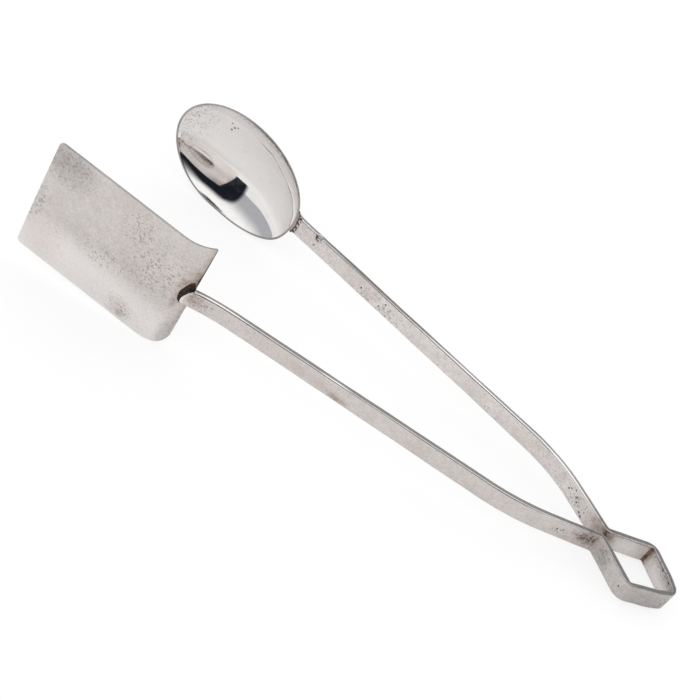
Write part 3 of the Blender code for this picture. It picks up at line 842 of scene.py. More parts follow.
def hollow(first, last, towards, sag):
    """Hollow curve between two points, drawn in towards a third."""
    points = []
    for step in range(FILLET_STEPS + 1):
        share = step / FILLET_STEPS
        points.append(first.lerp(last, share).lerp(towards, sag * 4 * share * (1 - share)))
    return points


def corner_section(size):
    tuck = loop_corner(INNER + TUCK)
    leg = CORNER_LEG * size
    return [tuck] + hollow(tuck - Loop.rise * leg, tuck + Loop.fall * leg, tuck, FILLET_SAG)


def tip_section(size):
    throat = loop_tip(INNER + TUCK, 0.0)
    upper = throat - Loop.fall * size
    lower = Vector((upper.x, -upper.y))
    return [Vector((throat.x, 0))] + hollow(upper, lower, throat, FILLET_SAG)


def neck_section(size):
    reach = LOOP_FLANK_ANGLE * min(1.0, NECK_FILL * size)
    side = arc(NECK_CENTRE, NECK_BEND_RADIUS + HALF_STRIP - TUCK, 0.0, reach)
    upper = [side(step / FILLET_STEPS) for step in range(FILLET_STEPS + 1)]
    lower = [Vector((place.x, -place.y)) for place in upper]
    mouth = hollow(upper[-1], lower[-1], Vector((0, 0)), NECK_SAG)
    return upper + mouth[1:-1] + lower[::-1]


def tongue_corner(share, beyond):
    """Place on the blade beyond the tongue's round end, from its upper rear around its nose."""
    start = asin(1 - TONGUE_OVERLAP / TONGUE_HIGH_RADIUS)
    angle = start + (PUDDLE_STOP - start) * share
    ahead, level = nose_outline(angle)
    level -= tongue_dip(ARM_STRAIGHT + ahead)
    distance = heel_distance(ahead) + beyond * sin(angle)
    return Vector((max(PUDDLE_EDGE, distance), level + beyond * cos(angle)))


def blade_puddle():
    """Dark wedge of solder on the heel, run in around the tongue's nose."""
    top = []
    bottom = []
    for step in range(PUDDLE_STEPS + 1):
        share = step / PUDDLE_STEPS
        near = tongue_corner(share, -PUDDLE_TUCK)
        swell = cos(pi / 2 * share) ** PUDDLE_TAPER
        ragged = 1 + ripple(share, 0.0, 0.3, (0.2, 1), 3.3)
        far = tongue_corner(share, PUDDLE_TOE + PUDDLE_WIDTH * swell * ragged)
        height = PUDDLE_HEIGHT * (PUDDLE_LEAST_HEIGHT + (1 - PUDDLE_LEAST_HEIGHT) * swell)
        for row in range(PUDDLE_ROWS + 1):
            spread = row / PUDDLE_ROWS
            place = near.lerp(far, spread)
            lumps = 1 + ripple(place.x, place.y, 0.25, (1 / 0.9, 1 / 0.9), 5.5)
            rise = height * lumps * (1 - spread ** 2)
            for points, depth in ((top, -rise - PUDDLE_SKIN), (bottom, PUDDLE_SINK)):
                spot = blade_place(place.x, depth)
                points.append((spot.x, spot.y, place.y))
    count = len(top)
    columns = PUDDLE_ROWS + 1
    faces = []
    for step in range(PUDDLE_STEPS):
        for row in range(PUDDLE_ROWS):
            low = step * columns + row
            high = low + columns
            faces.append((low, low + 1, high + 1, high))
            faces.append((count + low, count + high, count + high + 1, count + low + 1))
    border = list(range(columns))
    border += [step * columns + PUDDLE_ROWS for step in range(1, PUDDLE_STEPS + 1)]
    border += [PUDDLE_STEPS * columns + row for row in range(PUDDLE_ROWS - 1, -1, -1)]
    border += [step * columns for step in range(PUDDLE_STEPS - 1, 0, -1)]
    for first, after in zip(border, border[1:] + border[:1]):
        faces.append((first, count + first, count + after, after))
    return add_piece("blade_puddle", top + bottom, faces, top + bottom)


# Materials

# Pale silver, also laid on as painted highlights and painted light
PALE_SILVER = (0.98, 0.95, 0.935)
LIGHT_SILVER = (0.915, 0.873, 0.852)
# The strip silver painted darker, as shade, for the spade strap and the blade
SHADED_SILVER = (0.79, 0.75, 0.73)
BRIGHT_SILVER = (0.93, 0.912, 0.90)
GREY_SILVER = (0.54, 0.507, 0.495)
# Grey of tarnished patches, also laid on as painted shade in the nick and on the loop
DULL_AND_SHADE_SILVER = (0.43, 0.405, 0.39)
OUTSIDE_GREY = (0.40, 0.38, 0.37)
# Grey of specks and pits, also laid on as painted shade on the loop and along the bowl's rim
SPECK_AND_SHADE_GREY = (0.20, 0.185, 0.175)
BROWN = (0.30, 0.215, 0.165)
PINK_BROWN = (0.58, 0.46, 0.40)
BURNT_BROWN = (0.17, 0.105, 0.07)
# Black of sooty marks and pits, also laid on as painted shade on the loop, in the nick and inside the bowl's
# low rim
SOOT_AND_SHADE = (0.022, 0.018, 0.015)

# Solder, each a dark and a pale colour
BLACK_SOLDER = ((0.012, 0.010, 0.009), (0.07, 0.05, 0.04))
BROWN_SOLDER = ((0.11, 0.068, 0.05), (0.36, 0.265, 0.21))
PITTED_SOLDER = ((0.10, 0.07, 0.055), (0.40, 0.34, 0.30))

# Strength of each layer on satin silver: worn marks and stains, painted highlights and painted light, and
# painted shade
MOTTLED = 0.42
GRAINED = 0.36
WARMED = 0.25
BRIGHTENED = 0.95
PINKED = 0.28
DULLED_AND_SHADED = 0.85
PITTED = 0.66
STAINED = 0.85
BLACKENED = 0.92

# Roughness of satin silver
SMOOTHEST = 0.22
ROUGHEST = 0.34
EDGE_POLISH = 0.14
EDGE_POLISH_START = 0.7
EDGE_POLISH_FULL = 0.35
MARK_ROUGHNESS = 0.2
BLADE_INNER_SHARE = 0.35

# Relief of the metals, in metres
SATIN_RELIEF = 0.00003
BOWL_PIT_RELIEF = -0.00004
SOLDER_RELIEF = 0.00012

# Marks on the strips' edges and faces
EDGE_SOFTNESS = 0.4
TOP_BAND_DEPTH = 1.6
# Painted highlight lines along the strips' high edges
HIGHLIGHT_PLACE = 0.8
HIGHLIGHT_WIDTH = 0.5
HIGHLIGHT_DEPTH = 0.7
HIGHLIGHT_RAGGEDNESS = 0.1
DOT_DEPTH = 0.6
DOT_SOFTNESS = 0.5
DOT_RAGGEDNESS = 0.8
# Painted highlight on the rim of the tongue's nose
NOSE_RIM = 0.35
NOSE_RIM_ANGLES = range(38, 135, 12)
NOSE_RIM_SIZE = (0.55, 0.55, 1.4)


# Patterns: the way that noise is shifted, the noise at a mark's edge, and the blur of a speck
SHIFT_WAY = (1.0, 0.7, 0.3)
RAGGED_NOISE = (1.1, 4.0, 0.55)
SPECK_BLUR = 0.08

# Colour sockets of a mix node
MIX_FIRST = 6
MIX_SECOND = 7
MIX_RESULT = 2

# Marks on one piece of satin silver, real ones along with painted highlights, painted light and painted
# shade, each a centre, a size, a softness and a raggedness
WearAndPaintedLight = namedtuple("WearAndPaintedLight", "bright pink brown dull dark specks soot", defaults=[()])


class Nodes:
    """Builds the nodes of one shader tree."""

    def __init__(self, tree):
        self.tree = tree

    def node(self, kind, inputs=(), **settings):
        """New node with its settings, and a pattern or a plain value on each of its inputs."""
        added = self.tree.nodes.new(kind)
        for key, value in settings.items():
            setattr(added, key, value)
        for key, value in dict(inputs).items():
            self.feed(added.inputs[key], value)
        return added

    def feed(self, socket, value):
        if isinstance(value, bpy.types.NodeSocket):
            self.tree.links.new(value, socket)
        elif socket.type == 'RGBA':
            socket.default_value = (*value, 1.0)
        else:
            socket.default_value = value

    def split(self, vector):
        return self.node("ShaderNodeSeparateXYZ", {"Vector": vector}).outputs

    def vector(self, operation, first, second=None, output="Vector"):
        inputs = {0: first} if second is None else {0: first, 1: second}
        return self.node("ShaderNodeVectorMath", inputs, operation=operation).outputs[output]

    def between(self, value, low, high, bottom=0.0, top=1.0):
        """Smooth step from bottom to top while a value goes from low to high."""
        inputs = {"Value": value, "From Min": low, "From Max": high, "To Min": bottom, "To Max": top}
        return self.node("ShaderNodeMapRange", inputs, interpolation_type='SMOOTHSTEP').outputs["Result"]

    def math(self, operation, first, second=0.0):
        return self.node("ShaderNodeMath", {0: first, 1: second}, operation=operation).outputs["Value"]

    def times(self, first, second):
        return self.math('MULTIPLY', first, second)

    def larger(self, first, second):
        return self.math('MAXIMUM', first, second)

    def mix(self, share, first, second):
        inputs = {"Factor": share, MIX_FIRST: first, MIX_SECOND: second}
        return self.node("ShaderNodeMix", inputs, data_type='RGBA').outputs[MIX_RESULT]

    def coat(self, colour, mask, strength, pigment):
        """Colour with a pigment laid over it where the mask is."""
        return self.mix(self.times(mask, strength), colour, pigment)

    def shade(self, kind, colour):
        return self.node(kind, {"Color": colour}).outputs[0]

    def by_ray(self, ray, other, seen):
        """Shader that one kind of ray sees, with another for the rest."""
        is_seen = self.node("ShaderNodeLightPath").outputs[ray]
        return self.node("ShaderNodeMixShader", {"Fac": is_seen, 1: other, 2: seen}).outputs["Shader"]


class Look(Nodes):
    """Node material whose patterns follow each piece's own places, in millimetres."""

    def __init__(self, name):
        self.material = bpy.data.materials.new(name)
        self.material.use_nodes = True
        super().__init__(self.material.node_tree)
        self.shader = self.tree.nodes["Principled BSDF"]
        self.give("Metallic", 1.0)
        self.place = self.node("ShaderNodeAttribute", attribute_name="flat").outputs["Vector"]
        _, self.across, self.depth = self.split(self.place)

    def give(self, name, value):
        """Set one input of the metal's shader."""
        self.feed(self.shader.inputs[name], value)

    def stretch(self, place, scale):
        return self.vector('MULTIPLY', place, scale)

    def cloud(self, scale, detail, roughness, place=None, shift=0.0):
        """Noise with features of about 1 / scale millimetres."""
        moved = self.vector('ADD', place or self.place, tuple(shift * way for way in SHIFT_WAY))
        inputs = {"Vector": moved, "Scale": scale, "Detail": detail, "Roughness": roughness}
        return self.node("ShaderNodeTexNoise", inputs).outputs["Fac"]

    def speckle(self, scale, size):
        """Mask of small round specks of uneven size, about 1 / scale millimetres apart."""
        cells = self.node("ShaderNodeTexVoronoi", {"Vector": self.place, "Scale": scale}).outputs
        parts = self.node("ShaderNodeSeparateColor", {"Color": cells["Color"]}).outputs
        inside = self.math('SUBTRACT', self.times(parts["Red"], size), cells["Distance"])
        return self.between(inside, -SPECK_BLUR, SPECK_BLUR)

    def spot(self, centre, size, softness, raggedness):
        """Mask of one mark: 1 within its size, fading out over the soft share of it, with a ragged edge."""
        offset = self.vector('SUBTRACT', self.place, centre)
        scaled = self.stretch(offset, tuple(1 / length for length in size))
        distance = self.vector('LENGTH', scaled, output="Value")
        ragged = self.cloud(*RAGGED_NOISE, shift=centre[0])
        wander = self.times(self.math('SUBTRACT', ragged, 0.5), 2 * raggedness)
        return self.between(self.math('ADD', distance, wander), 1 - softness, 1 + softness, 1.0, 0.0)

    def spots(self, marks):
        """Mask of one or more marks."""
        masks = [self.spot(*mark) for mark in marks]
        total = masks[0]
        for mask in masks[1:]:
            total = self.larger(total, mask)
        return total

    def bump(self, height, distance, strength):
        inputs = {"Strength": strength, "Distance": distance, "Height": height}
        self.give("Normal", self.node("ShaderNodeBump", inputs).outputs["Normal"])


def satin(name, wear_and_light, tone, cloudiness, half_width):
    """Worn satin silver with mottled tarnish, pits and stains, and painted highlights, painted light and
    painted shade; the edges are rubbed smooth.
    """
    look = Look(name)
    clouds = look.between(look.cloud(0.07, 5.0, 0.6), 0.40, 0.72)
    mottle = look.between(look.cloud(0.55, 6.0, 0.68, shift=31.0), 0.38, 0.78)
    fine = look.cloud(1.5, 4.0, 0.66, shift=13.0)
    grain = look.between(fine, 0.38, 0.62, 0.0, GRAINED)
    warm = look.between(look.cloud(0.045, 3.0, 0.5, shift=83.0), 0.5, 0.75, 0.0, WARMED)
    colour = look.coat(tone, clouds, cloudiness, GREY_SILVER)
    colour = look.coat(colour, mottle, MOTTLED, GREY_SILVER)
    colour = look.mix(grain, colour, GREY_SILVER)
    colour = look.mix(warm, colour, PINK_BROWN)
    # Painted highlights along the high edges and the nose's rim, painted light on the spoon loop's inner
    # faces, and a lighter low third on the blade
    colour = look.coat(colour, look.spots(wear_and_light.bright), BRIGHTENED, PALE_SILVER)
    colour = look.coat(colour, look.spots(wear_and_light.pink), PINKED, PINK_BROWN)
    # Greyed patches: real tarnish, and painted shade in the nick and near the high edge of the loop's
    # spoon-side fall
    dull = look.times(look.spots(wear_and_light.dull), look.between(mottle, -1.6, 1.0, 0.0, DULLED_AND_SHADED))
    colour = look.mix(dull, colour, DULL_AND_SHADE_SILVER)
    zones = look.between(look.cloud(0.10, 3.0, 0.55, shift=57.0), 0.52, 0.68)
    pits = look.times(look.between(fine, 0.60, 0.68), zones)
    # Specks: real pits, and painted shade near the high edge of the loop's spoon-side fall
    pits = look.larger(pits, look.times(look.between(fine, 0.53, 0.63), look.spots(wear_and_light.specks)))
    colour = look.coat(colour, pits, PITTED, SPECK_AND_SHADE_GREY)
    stain = look.times(look.spots(wear_and_light.brown), look.between(mottle, -0.6, 1.0))
    colour = look.coat(colour, stain, STAINED, BROWN)
    # Black marks: real dots and pits, and painted shade at the nick and near the high edge of the loop's
    # spoon-side fall
    dark = look.spots(wear_and_light.dark)
    if wear_and_light.soot:
        dark = look.larger(dark, look.times(look.speckle(1.5, 0.52), look.spots(wear_and_light.soot)))
    look.give("Base Color", look.coat(colour, dark, BLACKENED, SOOT_AND_SHADE))
    height = look.math('ABSOLUTE', look.across)
    edge_start = half_width - EDGE_POLISH_START
    edge = look.between(height, edge_start, half_width - EDGE_POLISH_FULL, 0.0, EDGE_POLISH)
    worn = look.between(look.cloud(0.3, 4.0, 0.6, shift=5.0), 0.3, 0.8, SMOOTHEST, ROUGHEST)
    marked = look.times(look.larger(look.larger(pits, stain), dark), MARK_ROUGHNESS)
    look.roughness = look.math('ADD', look.math('SUBTRACT', worn, edge), marked)
    look.give("Roughness", look.roughness)
    brushing = look.cloud(1.6, 3.0, 0.6, place=look.stretch(look.place, (0.12, 1.0, 1.0)))
    look.bump(look.math('SUBTRACT', look.times(brushing, 0.35), look.times(pits, 0.8)), SATIN_RELIEF, 0.6)
    return look


def on_face(face, *rows):
    """Marks on a face, from rows of along, across, length, width, depth, softness and raggedness."""
    return [((row[0], row[1], face), row[2:5], row[5], row[6]) for row in rows]


def dots(face, size, *places):
    """Small dark dots at places along and across a strip's face."""
    shape = (size, size, DOT_DEPTH, DOT_SOFTNESS, DOT_RAGGEDNESS)
    return on_face(face, *((*place, *shape) for place in places))


def darker_top_band(along, length, width, raggedness):
    """Darker band along a strip's high edge."""
    return ((along, STRIP_WIDTH / 2, 0.0), (length, width, TOP_BAND_DEPTH), EDGE_SOFTNESS, raggedness)


def painted_edge_highlight(face, along, across, length):
    """Painted highlight: a pale line along the high edge of a strip's face."""
    return ((along, across, HIGHLIGHT_PLACE * face), (length, HIGHLIGHT_WIDTH, HIGHLIGHT_DEPTH), EDGE_SOFTNESS, HIGHLIGHT_RAGGEDNESS)


LOOP_TOP_BAND = darker_top_band(-60.0, 32.0, 0.6, 0.2)


def spoon_strap_metal():
    end_pits = []
    for level, back, size in (
        (3.1, 0.9, 0.5),
        (2.2, 1.2, 0.3),
        (1.2, 0.8, 0.4),
        (0.3, 1.1, 0.26),
        (-0.7, 0.8, 0.42),
        (-1.5, 1.0, 0.3),
        (-2.6, 0.8, 0.6),
        (-3.2, 0.9, 0.5),
    ):
        end_pits += dots(INNER, size, (spoon_reach(level, INNER) - back, level))
    wear_and_light = WearAndPaintedLight(
        # Painted light: the spoon half of the loop lightened on its inner face
        bright=on_face(INNER, (-62.0, -0.5, 16.0, 4.5, 1.2, 0.5, 0.2))
        # Painted highlights along the high inner edge
        + [painted_edge_highlight(INNER, -18.0, 3.3, 22.0), painted_edge_highlight(INNER, 27.0, 3.2, 30.0)],
        pink=on_face(
            INNER,
            (-38.5, 0.0, 4.5, 5.0, 1.2, 0.7, 0.5),
            (-57.0, 0.0, 4.0, 5.0, 1.2, 0.8, 0.5),
        ),
        brown=on_face(
            INNER,
            (-40.8, 0.0, 3.0, 6.0, 1.6, 0.6, 0.5),
            (-37.6, 1.5, 2.6, 2.6, 1.2, 0.8, 0.7),
            (106.4, 0.0, 1.3, 4.5, 1.6, 0.5, 0.8),
            (-38.6, 0.0, 2.4, 4.4, 1.2, 0.6, 0.4),
            (-59.5, 0.0, 1.1, 5.0, 1.2, 0.6, 0.5),
        ),
        dull=on_face(
            INNER,
            # Painted shade: the inner face of the spoon half's fall darkened towards its high edge
            (-72.0, 3.2, 9.0, 2.6, 1.4, 0.8, 0.5),
            # Painted shade in the nick's hollow
            (NICK_PLACE, 2.6, 1.0, 0.9, 0.9, 0.5, 0.5),
            (-41.0, 0.0, 3.2, 5.0, 1.4, 0.7, 0.4),
        ) + [darker_top_band(70.0, 26.0, 0.5, 0.15), LOOP_TOP_BAND],
        # Painted shade: dark crescent at the nick's border; the other dots are real
        dark=dots(INNER, 0.28, (97.2, 2.8), (97.1, 2.3), (96.7, 1.8), (96.0, 1.5))
        + dots(INNER, 0.30, (96.5, -0.9), (74.3, -0.6), (65.8, -1.4), (64.0, 1.1))
        + dots(INNER, 0.34, (-26.2, 0.7), (-27.1, -0.6), (-30.0, -1.9), (-31.3, -2.4))
        + dots(INNER, 0.34, (-21.8, 0.1), (-24.3, 2.0), (-22.6, 0.9))
        + end_pits,
        specks=on_face(
            INNER,
            (66.0, -0.8, 9.0, 2.6, 1.2, 0.7, 0.6),
            (-28.0, -0.5, 5.0, 2.5, 1.2, 0.7, 0.6),
            # Painted shade: speckled darkening at the same place
            (-71.0, 2.4, 8.0, 1.8, 1.2, 0.7, 0.8),
        ),
        # Painted shade: black speckle at the same place
        soot=on_face(INNER, (-70.0, 2.9, 8.0, 1.0, 1.2, 0.8, 0.8)),
    )
    return satin("spoon_strap_silver", wear_and_light, LIGHT_SILVER, 0.25, STRIP_WIDTH / 2).material


def painted_nose_highlight():
    """Painted highlights: pale marks along the round rim of the tongue's nose."""
    marks = []
    for angle in NOSE_RIM_ANGLES:
        ahead, across = nose_outline(radians(angle), NOSE_RIM)
        marks += on_face(OUTER, (ARM_STRAIGHT + ahead, across, *NOSE_RIM_SIZE, 0.5, 0.1))
    return marks


def spade_strap_metal():
    wear_and_light = WearAndPaintedLight(
        # Painted highlights on the nose's rim and along the high outer edge
        bright=painted_nose_highlight() + [painted_edge_highlight(OUTER, 98.0, 3.3, 9.0), painted_edge_highlight(OUTER, 55.5, 3.2, 5.0)],
        pink=on_face(
            OUTER,
            (-38.5, 0.5, 5.0, 4.0, 1.2, 0.7, 0.5),
            (104.5, 0.5, 4.0, 2.5, 1.2, 0.8, 0.6),
            (53.0, -1.6, 4.5, 1.6, 1.2, 0.6, 0.5),
            (59.5, -1.0, 4.0, 1.8, 1.2, 0.6, 0.5),
            (67.0, -0.4, 4.5, 1.8, 1.2, 0.7, 0.6),
        ),
        brown=on_face(
            OUTER,
            (-41.6, 0.0, 0.4, 5.0, 1.2, 0.5, 0.3),
            (-39.9, 0.0, 0.35, 5.0, 1.2, 0.5, 0.3),
            (-37.6, 2.6, 3.0, 1.7, 1.4, 0.6, 0.6),
            (-38.6, 0.5, 2.0, 2.4, 1.2, 0.8, 0.8),
            (-36.6, 0.8, 3.0, 1.8, 1.2, 0.6, 0.9),
            (105.3, 0.6, 2.2, 1.7, 1.2, 0.6, 0.9),
            (52.6, -2.0, 2.6, 0.9, 1.2, 0.9, 0.9),
        ) + on_face(INNER, (104.0, 0.0, 3.0, 5.0, 1.2, 0.8, 0.6)),
        dull=on_face(
            OUTER,
            (-68.0, 0.0, 12.0, 6.0, 1.6, 0.5, 0.5),
            (-72.0, 0.0, 7.0, 6.0, 1.6, 0.7, 0.5),
            (-46.0, 0.0, 4.0, 3.0, 1.2, 0.7, 0.6),
            (-37.6, 0.8, 3.6, 2.2, 1.2, 0.8, 0.7),
            (-70.5, -0.5, 2.4, 1.8, 1.2, 0.8, 0.8),
        ) + [LOOP_TOP_BAND],
        dark=dots(OUTER, 0.3, (-26.8, 0.0), (-57.0, 0.0)),
        specks=on_face(
            OUTER,
            (-36.0, 0.2, 4.0, 2.4, 1.2, 0.7, 0.6),
            (-46.0, 0.5, 4.0, 2.5, 1.2, 0.7, 0.6),
            (-73.5, 0.0, 4.0, 2.5, 1.2, 0.7, 0.6),
            (103.0, 0.2, 3.6, 2.2, 1.2, 0.7, 0.6),
        ),
        soot=on_face(
            OUTER,
            (-37.2, 1.0, 4.4, 2.0, 1.2, 0.6, 0.6),
            (-29.0, -0.6, 3.0, 1.2, 1.2, 0.7, 0.6),
        ),
    )
    # Darker tone of the same silver, as painted shade
    return satin("spade_strap_silver", wear_and_light, SHADED_SILVER, 0.25, STRIP_WIDTH / 2).material


def blade_metal():
    """Satin silver with stains at the heel, smoother on the blade's inner face."""
    face = BLADE_SHEET / 2
    wear_and_light = WearAndPaintedLight(
        bright=on_face(face, (32.0, -21.0, 44.0, 12.0, 2.0, 0.45, 0.1)),
        pink=on_face(
            face,
            (53.0, -16.0, 7.0, 7.0, 1.6, 0.8, 0.6),
            (19.0, -19.0, 3.6, 2.8, 1.6, 0.8, 0.6),
            (2.0, 6.0, 5.0, 8.0, 1.6, 0.8, 0.6),
        ),
        brown=on_face(
            face,
            (-0.4, 2.0, 2.0, 26.0, 2.0, 0.7, 0.6),
            (2.4, 2.2, 3.6, 3.8, 1.6, 0.5, 0.5),
            (1.2, 6.0, 2.6, 3.6, 1.6, 0.7, 0.5),
            (4.8, -3.4, 1.2, 3.0, 1.6, 0.8, 0.5),
            (18.2, -20.4, 1.6, 1.0, 1.2, 0.8, 1.2),
        ),
        dull=on_face(
            face,
            (53.5, 14.2, 8.0, 5.5, 1.6, 0.8, 0.8),
            (2.0, -17.0, 2.6, 6.0, 1.6, 0.8, 0.6),
        ),
        dark=on_face(face / 2, (-0.1, 10.5, 0.62, 9.5, 2.0, 0.4, 0.35))
        + on_face(face, (0.1, 5.4, 0.9, 2.2, 1.6, 0.7, 0.4)),
        specks=on_face(
            face,
            (52.5, 13.5, 8.0, 5.5, 1.2, 0.8, 0.7),
            (23.6, 10.2, 5.5, 5.0, 1.2, 0.9, 0.8),
            (57.5, -5.4, 2.8, 5.5, 1.2, 0.8, 0.7),
            (31.5, -6.5, 6.5, 3.5, 1.2, 0.8, 0.7),
            (14.5, 2.5, 8.5, 8.5, 1.2, 0.9, 0.9),
            (19.0, -19.0, 4.5, 3.4, 1.2, 0.8, 0.7),
        ),
    )
    # Darker tone of the strip silver, as painted shade
    look = satin("blade_silver", wear_and_light, SHADED_SILVER, 0.3, BLADE_WIDTH)
    smooth = look.between(look.depth, -face / 2, face / 2, BLADE_INNER_SHARE, 1.0)
    look.give("Roughness", look.times(smooth, look.roughness))
    return look.material


def bowl_metal():
    """Mirror-polished silver inside, with a few pits and a painted shadow band along the low rim, and matt
    satin outside with painted shade along the rim.
    """
    look = Look("bowl_silver")
    haze = look.between(look.cloud(0.5, 6.0, 0.7), 0.45, 0.8)
    pitted = look.spots([
        ((23.0, 8.0, 7.0), (7.0, 12.0, 6.0), 0.6, 0.5),
        ((-9.0, 16.8, BOWL_LIFT + 1.5), (17.0, 2.2, 4.0), 0.7, 0.6),
    ])
    pits = look.times(look.between(look.cloud(1.6, 3.0, 0.6, shift=17.0), 0.53, 0.63), pitted)
    places = ((11.4, 10.3, 0.30), (10.2, 9.0, 0.36), (11.0, 7.5, 0.36), (9.0, 9.9, 0.28))
    holes = look.spots([((x, z, BOWL_FLOOR), (size, size, 2.0), 0.4, 0.1) for x, z, size in places])
    # Painted shadow: dark band inside the low rim, standing in for the shadow under the rim seen in the
    # mirror
    painted_rim_shade = look.spot((5.0, -18.4, BOWL_LIFT + 0.5), (10.0, 0.9, 2.0), 0.3, 0.25)
    colour = look.coat(BRIGHT_SILVER, haze, 0.2, GREY_SILVER)
    colour = look.coat(colour, pits, 0.6, SPECK_AND_SHADE_GREY)
    colour = look.mix(holes, colour, SOOT_AND_SHADE)
    colour = look.mix(painted_rim_shade, colour, SOOT_AND_SHADE)
    outside = look.between(look.depth, 0.4 * OUTSIDE, 0.6 * OUTSIDE)
    tarnish = look.between(look.cloud(0.12, 6.0, 0.65, shift=53.0), 0.35, 0.7)
    scuffs = look.between(look.cloud(1.2, 5.0, 0.7, shift=71.0), 0.56, 0.68, 0.0, 0.6)
    back = look.mix(tarnish, GREY_SILVER, OUTSIDE_GREY)
    back = look.coat(back, scuffs, tarnish, SPECK_AND_SHADE_GREY)
    colour = look.mix(outside, colour, back)
    edge = OUTSIDE + BOWL_LIFT
    # Painted shade: the rim's outer edge greyed, so that its reflection inside the bowl reads dark
    painted_lip_shade = look.between(look.depth, edge + 0.1, edge + 0.5, 0.2, 0.0)
    look.give("Base Color", look.coat(colour, outside, painted_lip_shade, SPECK_AND_SHADE_GREY))
    rough = look.math('ADD', look.times(outside, 0.18), look.between(haze, 0.0, 1.0, 0.03, 0.09))
    rough = look.math('ADD', rough, look.times(pits, 0.3))
    rough = look.math('ADD', rough, look.times(look.times(tarnish, outside), 0.1))
    look.give("Roughness", rough)
    look.bump(pits, BOWL_PIT_RELIEF, 0.5)
    return look.material


def solder_metal(name, colours, stains=()):
    """Dark tarnished solder with painted glints and, where they are given, brown stains."""
    look = Look(name)
    crust = look.between(look.cloud(1.4, 5.0, 0.65), 0.36, 0.68)
    glint = look.between(look.cloud(2.3, 3.0, 0.6, shift=41.0), 0.64, 0.74)
    colour = look.mix(crust, *colours)
    if stains:
        colour = look.mix(look.spots(stains), colour, BURNT_BROWN)
    # Painted glints: grey silver laid on in small patches
    look.give("Base Color", look.coat(colour, glint, 0.5, GREY_SILVER))
    look.give("Metallic", 0.8)
    look.give("Roughness", look.between(crust, 0.0, 1.0, 0.6, 0.4))
    look.bump(crust, SOLDER_RELIEF, 0.8)
    return look.material


# Pieces

SPOON_SEED = 1.7
SPADE_SEED = 5.9


def finish_piece(piece, material, nodes):
    piece.data.materials.append(material)
    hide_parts(*nodes)


spoon_strap = strap(
    "spoon_strap", SPOON_ARM, SPOON_SIDE, spoon_reach, SPOON_SEED, spoon_marks, SPOON_WORN_PLACES
)
finish_piece(spoon_strap, spoon_strap_metal(), ["spoon_arm", "spoon_loop_half"])
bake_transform(spoon_strap)

spade_strap = strap(
    "spade_strap", SPADE_ARM, SPADE_SIDE, tongue_reach, SPADE_SEED, spade_marks, SPADE_WORN_PLACES
)
finish_piece(spade_strap, spade_strap_metal(), ["spade_arm", "spade_loop_half"])
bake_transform(spade_strap)

bowl_shell = spoon_bowl()
finish_piece(bowl_shell, bowl_metal(), ["spoon_bowl"])
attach(bowl_shell, "spoon")

blade_sheet = spade_blade()
finish_piece(blade_sheet, blade_metal(), ["spade_blade"])
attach(blade_sheet, "spade")

heel_top = blade_place(BROWN_TOP_DISTANCE, 0.0)
brown_top = [((heel_top.x, heel_top.y, BROWN_TOP_LEVEL), (9.0, 9.0, 2.3), 0.3, 0.5)]
black_solder = solder_metal("black_solder", BLACK_SOLDER, brown_top)
brown_solder = solder_metal("brown_solder", BROWN_SOLDER)
pitted_solder = solder_metal("pitted_solder", PITTED_SOLDER)

seam = bowl_seam()
finish_piece(seam, pitted_solder, ["bowl_solder"])
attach(seam, "spoon")

puddle = blade_puddle()
finish_piece(puddle, black_solder, ["blade_solder"])
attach(puddle, "spade")

for fillet_name, section, fillet_side, sunk, node in (
    ("spoon_corner_fillet", corner_section, SPOON_SIDE, 0.1, "spoon_corner_solder"),
    ("spade_corner_fillet", corner_section, SPADE_SIDE, 0.1, "spade_corner_solder"),
    ("tip_fillet", tip_section, SPOON_SIDE, 0.3, "tip_solder"),
    ("neck_fillet", neck_section, SPOON_SIDE, 1.2, "neck_solder"),
):
    fillet = fillet_piece(fillet_name, section, fillet_side, FILLET_SEED + len(fillet_name), sunk)
    finish_piece(fillet, brown_solder, [node])
    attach(fillet, "handle")


# Floor, world and camera

FLOOR_REACH = 3.0
FLOOR_COLOUR = (0.88, 0.87, 0.865)
FLOOR_SHADE = (0.28, 0.28, 0.28)
FLOOR_GLOW = (0.74, 0.74, 0.74)
WHITE = (1.0, 1.0, 1.0)
PALE = (0.85, 0.85, 0.85)
ROOM_GREY = (0.43, 0.44, 0.465)
REAR_GREY = (0.36, 0.365, 0.37)
NEAR_BLACK = (0.010, 0.012, 0.018)
PALE_EDGE = radians(15.5)
PALE_EDGE_BLUR = radians(0.7)
PALE_SLOPE = 0.082
DARK_LEFT = radians(-36)
DARK_LEFT_BLUR = radians(1.5)
DARK_RIGHT = radians(38)
DARK_RIGHT_BLUR = radians(8)
DARK_TOP = radians(47.5)
DARK_TOP_TURN = (radians(-12), radians(22))
DARK_TOP_BLUR = (radians(9), radians(22))
ROOM_FADE = (radians(26), radians(52))
REAR_RISE = (radians(12), radians(24))
REAR_FADE = (radians(50), radians(66))
REAR_EDGE = (-0.55, -0.15)


def floor():
    """Pale floor, shown nearly white to the camera, that keeps the tongs' shadow."""
    mesh = bpy.data.meshes.new("floor")
    reach = FLOOR_REACH
    corners = [(-reach, -reach, 0), (reach, -reach, 0), (reach, reach, 0), (-reach, reach, 0)]
    mesh.from_pydata(corners, [], [(0, 1, 2, 3)])
    ground = bpy.data.objects.new("floor", mesh)
    bpy.context.scene.collection.objects.link(ground)
    material = bpy.data.materials.new("floor_white")
    material.use_nodes = True
    material.node_tree.nodes.clear()
    paint = Nodes(material.node_tree)
    plain = paint.shade("ShaderNodeBsdfDiffuse", FLOOR_COLOUR)
    shadow = paint.shade("ShaderNodeBsdfDiffuse", FLOOR_SHADE)
    glow = paint.shade("ShaderNodeEmission", FLOOR_GLOW)
    seen = paint.node("ShaderNodeAddShader", {0: shadow, 1: glow}).outputs["Shader"]
    paint.node("ShaderNodeOutputMaterial", {"Surface": paint.by_ray("Is Camera Ray", plain, seen)})
    mesh.materials.append(material)


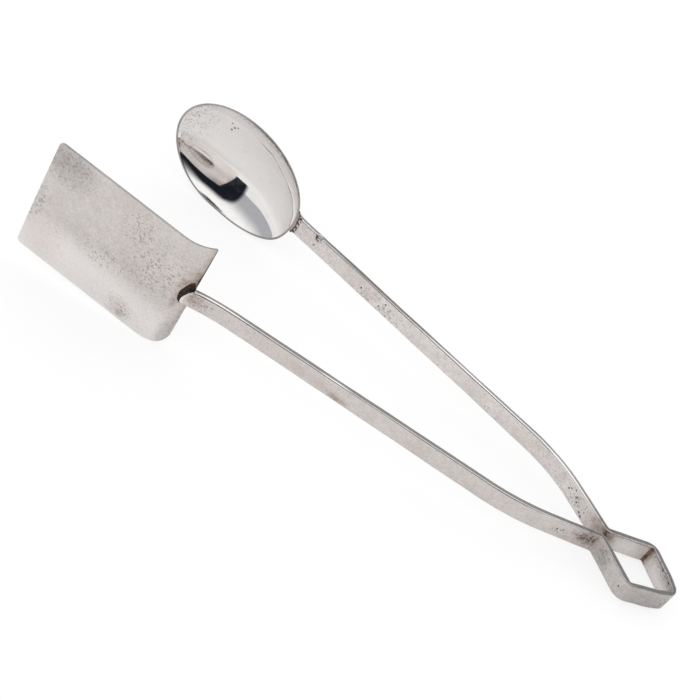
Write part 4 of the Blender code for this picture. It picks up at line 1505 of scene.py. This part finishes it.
def studio():
    """White studio: soft light overhead, a grey room around it and the dark side where the camera stands."""
    world = bpy.data.worlds.new("studio")
    bpy.context.scene.world = world
    world.use_nodes = True
    world.node_tree.nodes.clear()
    sky = Nodes(world.node_tree)
    direction = sky.node("ShaderNodeTexCoord").outputs["Generated"]
    height = sky.math('ARCSINE', sky.split(direction)["Z"])
    front = (TO_ROW @ CAMERA_PLACE).to_2d().normalized().to_3d()
    ahead = sky.vector('DOT_PRODUCT', direction, front, output="Value")
    aside = sky.vector('DOT_PRODUCT', direction, (-front.y, front.x, 0.0), output="Value")
    turn = sky.math('ARCTAN2', aside, ahead)

    room = sky.mix(sky.between(height, *ROOM_FADE), ROOM_GREY, WHITE)
    above = sky.math('SUBTRACT', height, sky.times(turn, PALE_SLOPE))
    room = sky.mix(sky.between(above, PALE_EDGE - PALE_EDGE_BLUR, PALE_EDGE), PALE, room)
    rear = sky.mix(sky.between(height, *REAR_RISE), PALE, REAR_GREY)
    rear = sky.mix(sky.between(height, *REAR_FADE), rear, WHITE)
    room = sky.mix(sky.between(ahead, *REAR_EDGE, 1.0, 0.0), room, rear)
    left = sky.between(turn, DARK_LEFT - DARK_LEFT_BLUR, DARK_LEFT + DARK_LEFT_BLUR)
    right = sky.between(turn, DARK_RIGHT - DARK_RIGHT_BLUR, DARK_RIGHT + DARK_RIGHT_BLUR, 1.0, 0.0)
    top_blur = sky.between(turn, *DARK_TOP_TURN, *DARK_TOP_BLUR)
    above_dark = sky.math('DIVIDE', sky.math('SUBTRACT', height, DARK_TOP), top_blur)
    top = sky.between(above_dark, -1.0, 0.2, 1.0, 0.0)
    room = sky.mix(sky.times(sky.times(left, right), top), room, NEAR_BLACK)

    plain = sky.shade("ShaderNodeBackground", WHITE)
    mirrored = sky.shade("ShaderNodeBackground", room)
    sky.node("ShaderNodeOutputWorld", {"Surface": sky.by_ray("Is Glossy Ray", plain, mirrored)})


def camera():
    data = bpy.data.cameras.new("camera")
    data.sensor_width = CAMERA_SENSOR
    data.lens = CAMERA_LENS
    data.clip_start = CAMERA_NEAR
    holder = bpy.data.objects.new("camera", data)
    holder.location = TO_ROW @ CAMERA_PLACE
    holder.rotation_euler = (TO_ROW.to_quaternion() @ CAMERA_TURN.to_quaternion()).to_euler()
    bpy.context.scene.collection.objects.link(holder)
    bpy.context.scene.camera = holder


floor()
studio()
camera()
bpy.context.scene.view_settings.view_transform = 'Standard'
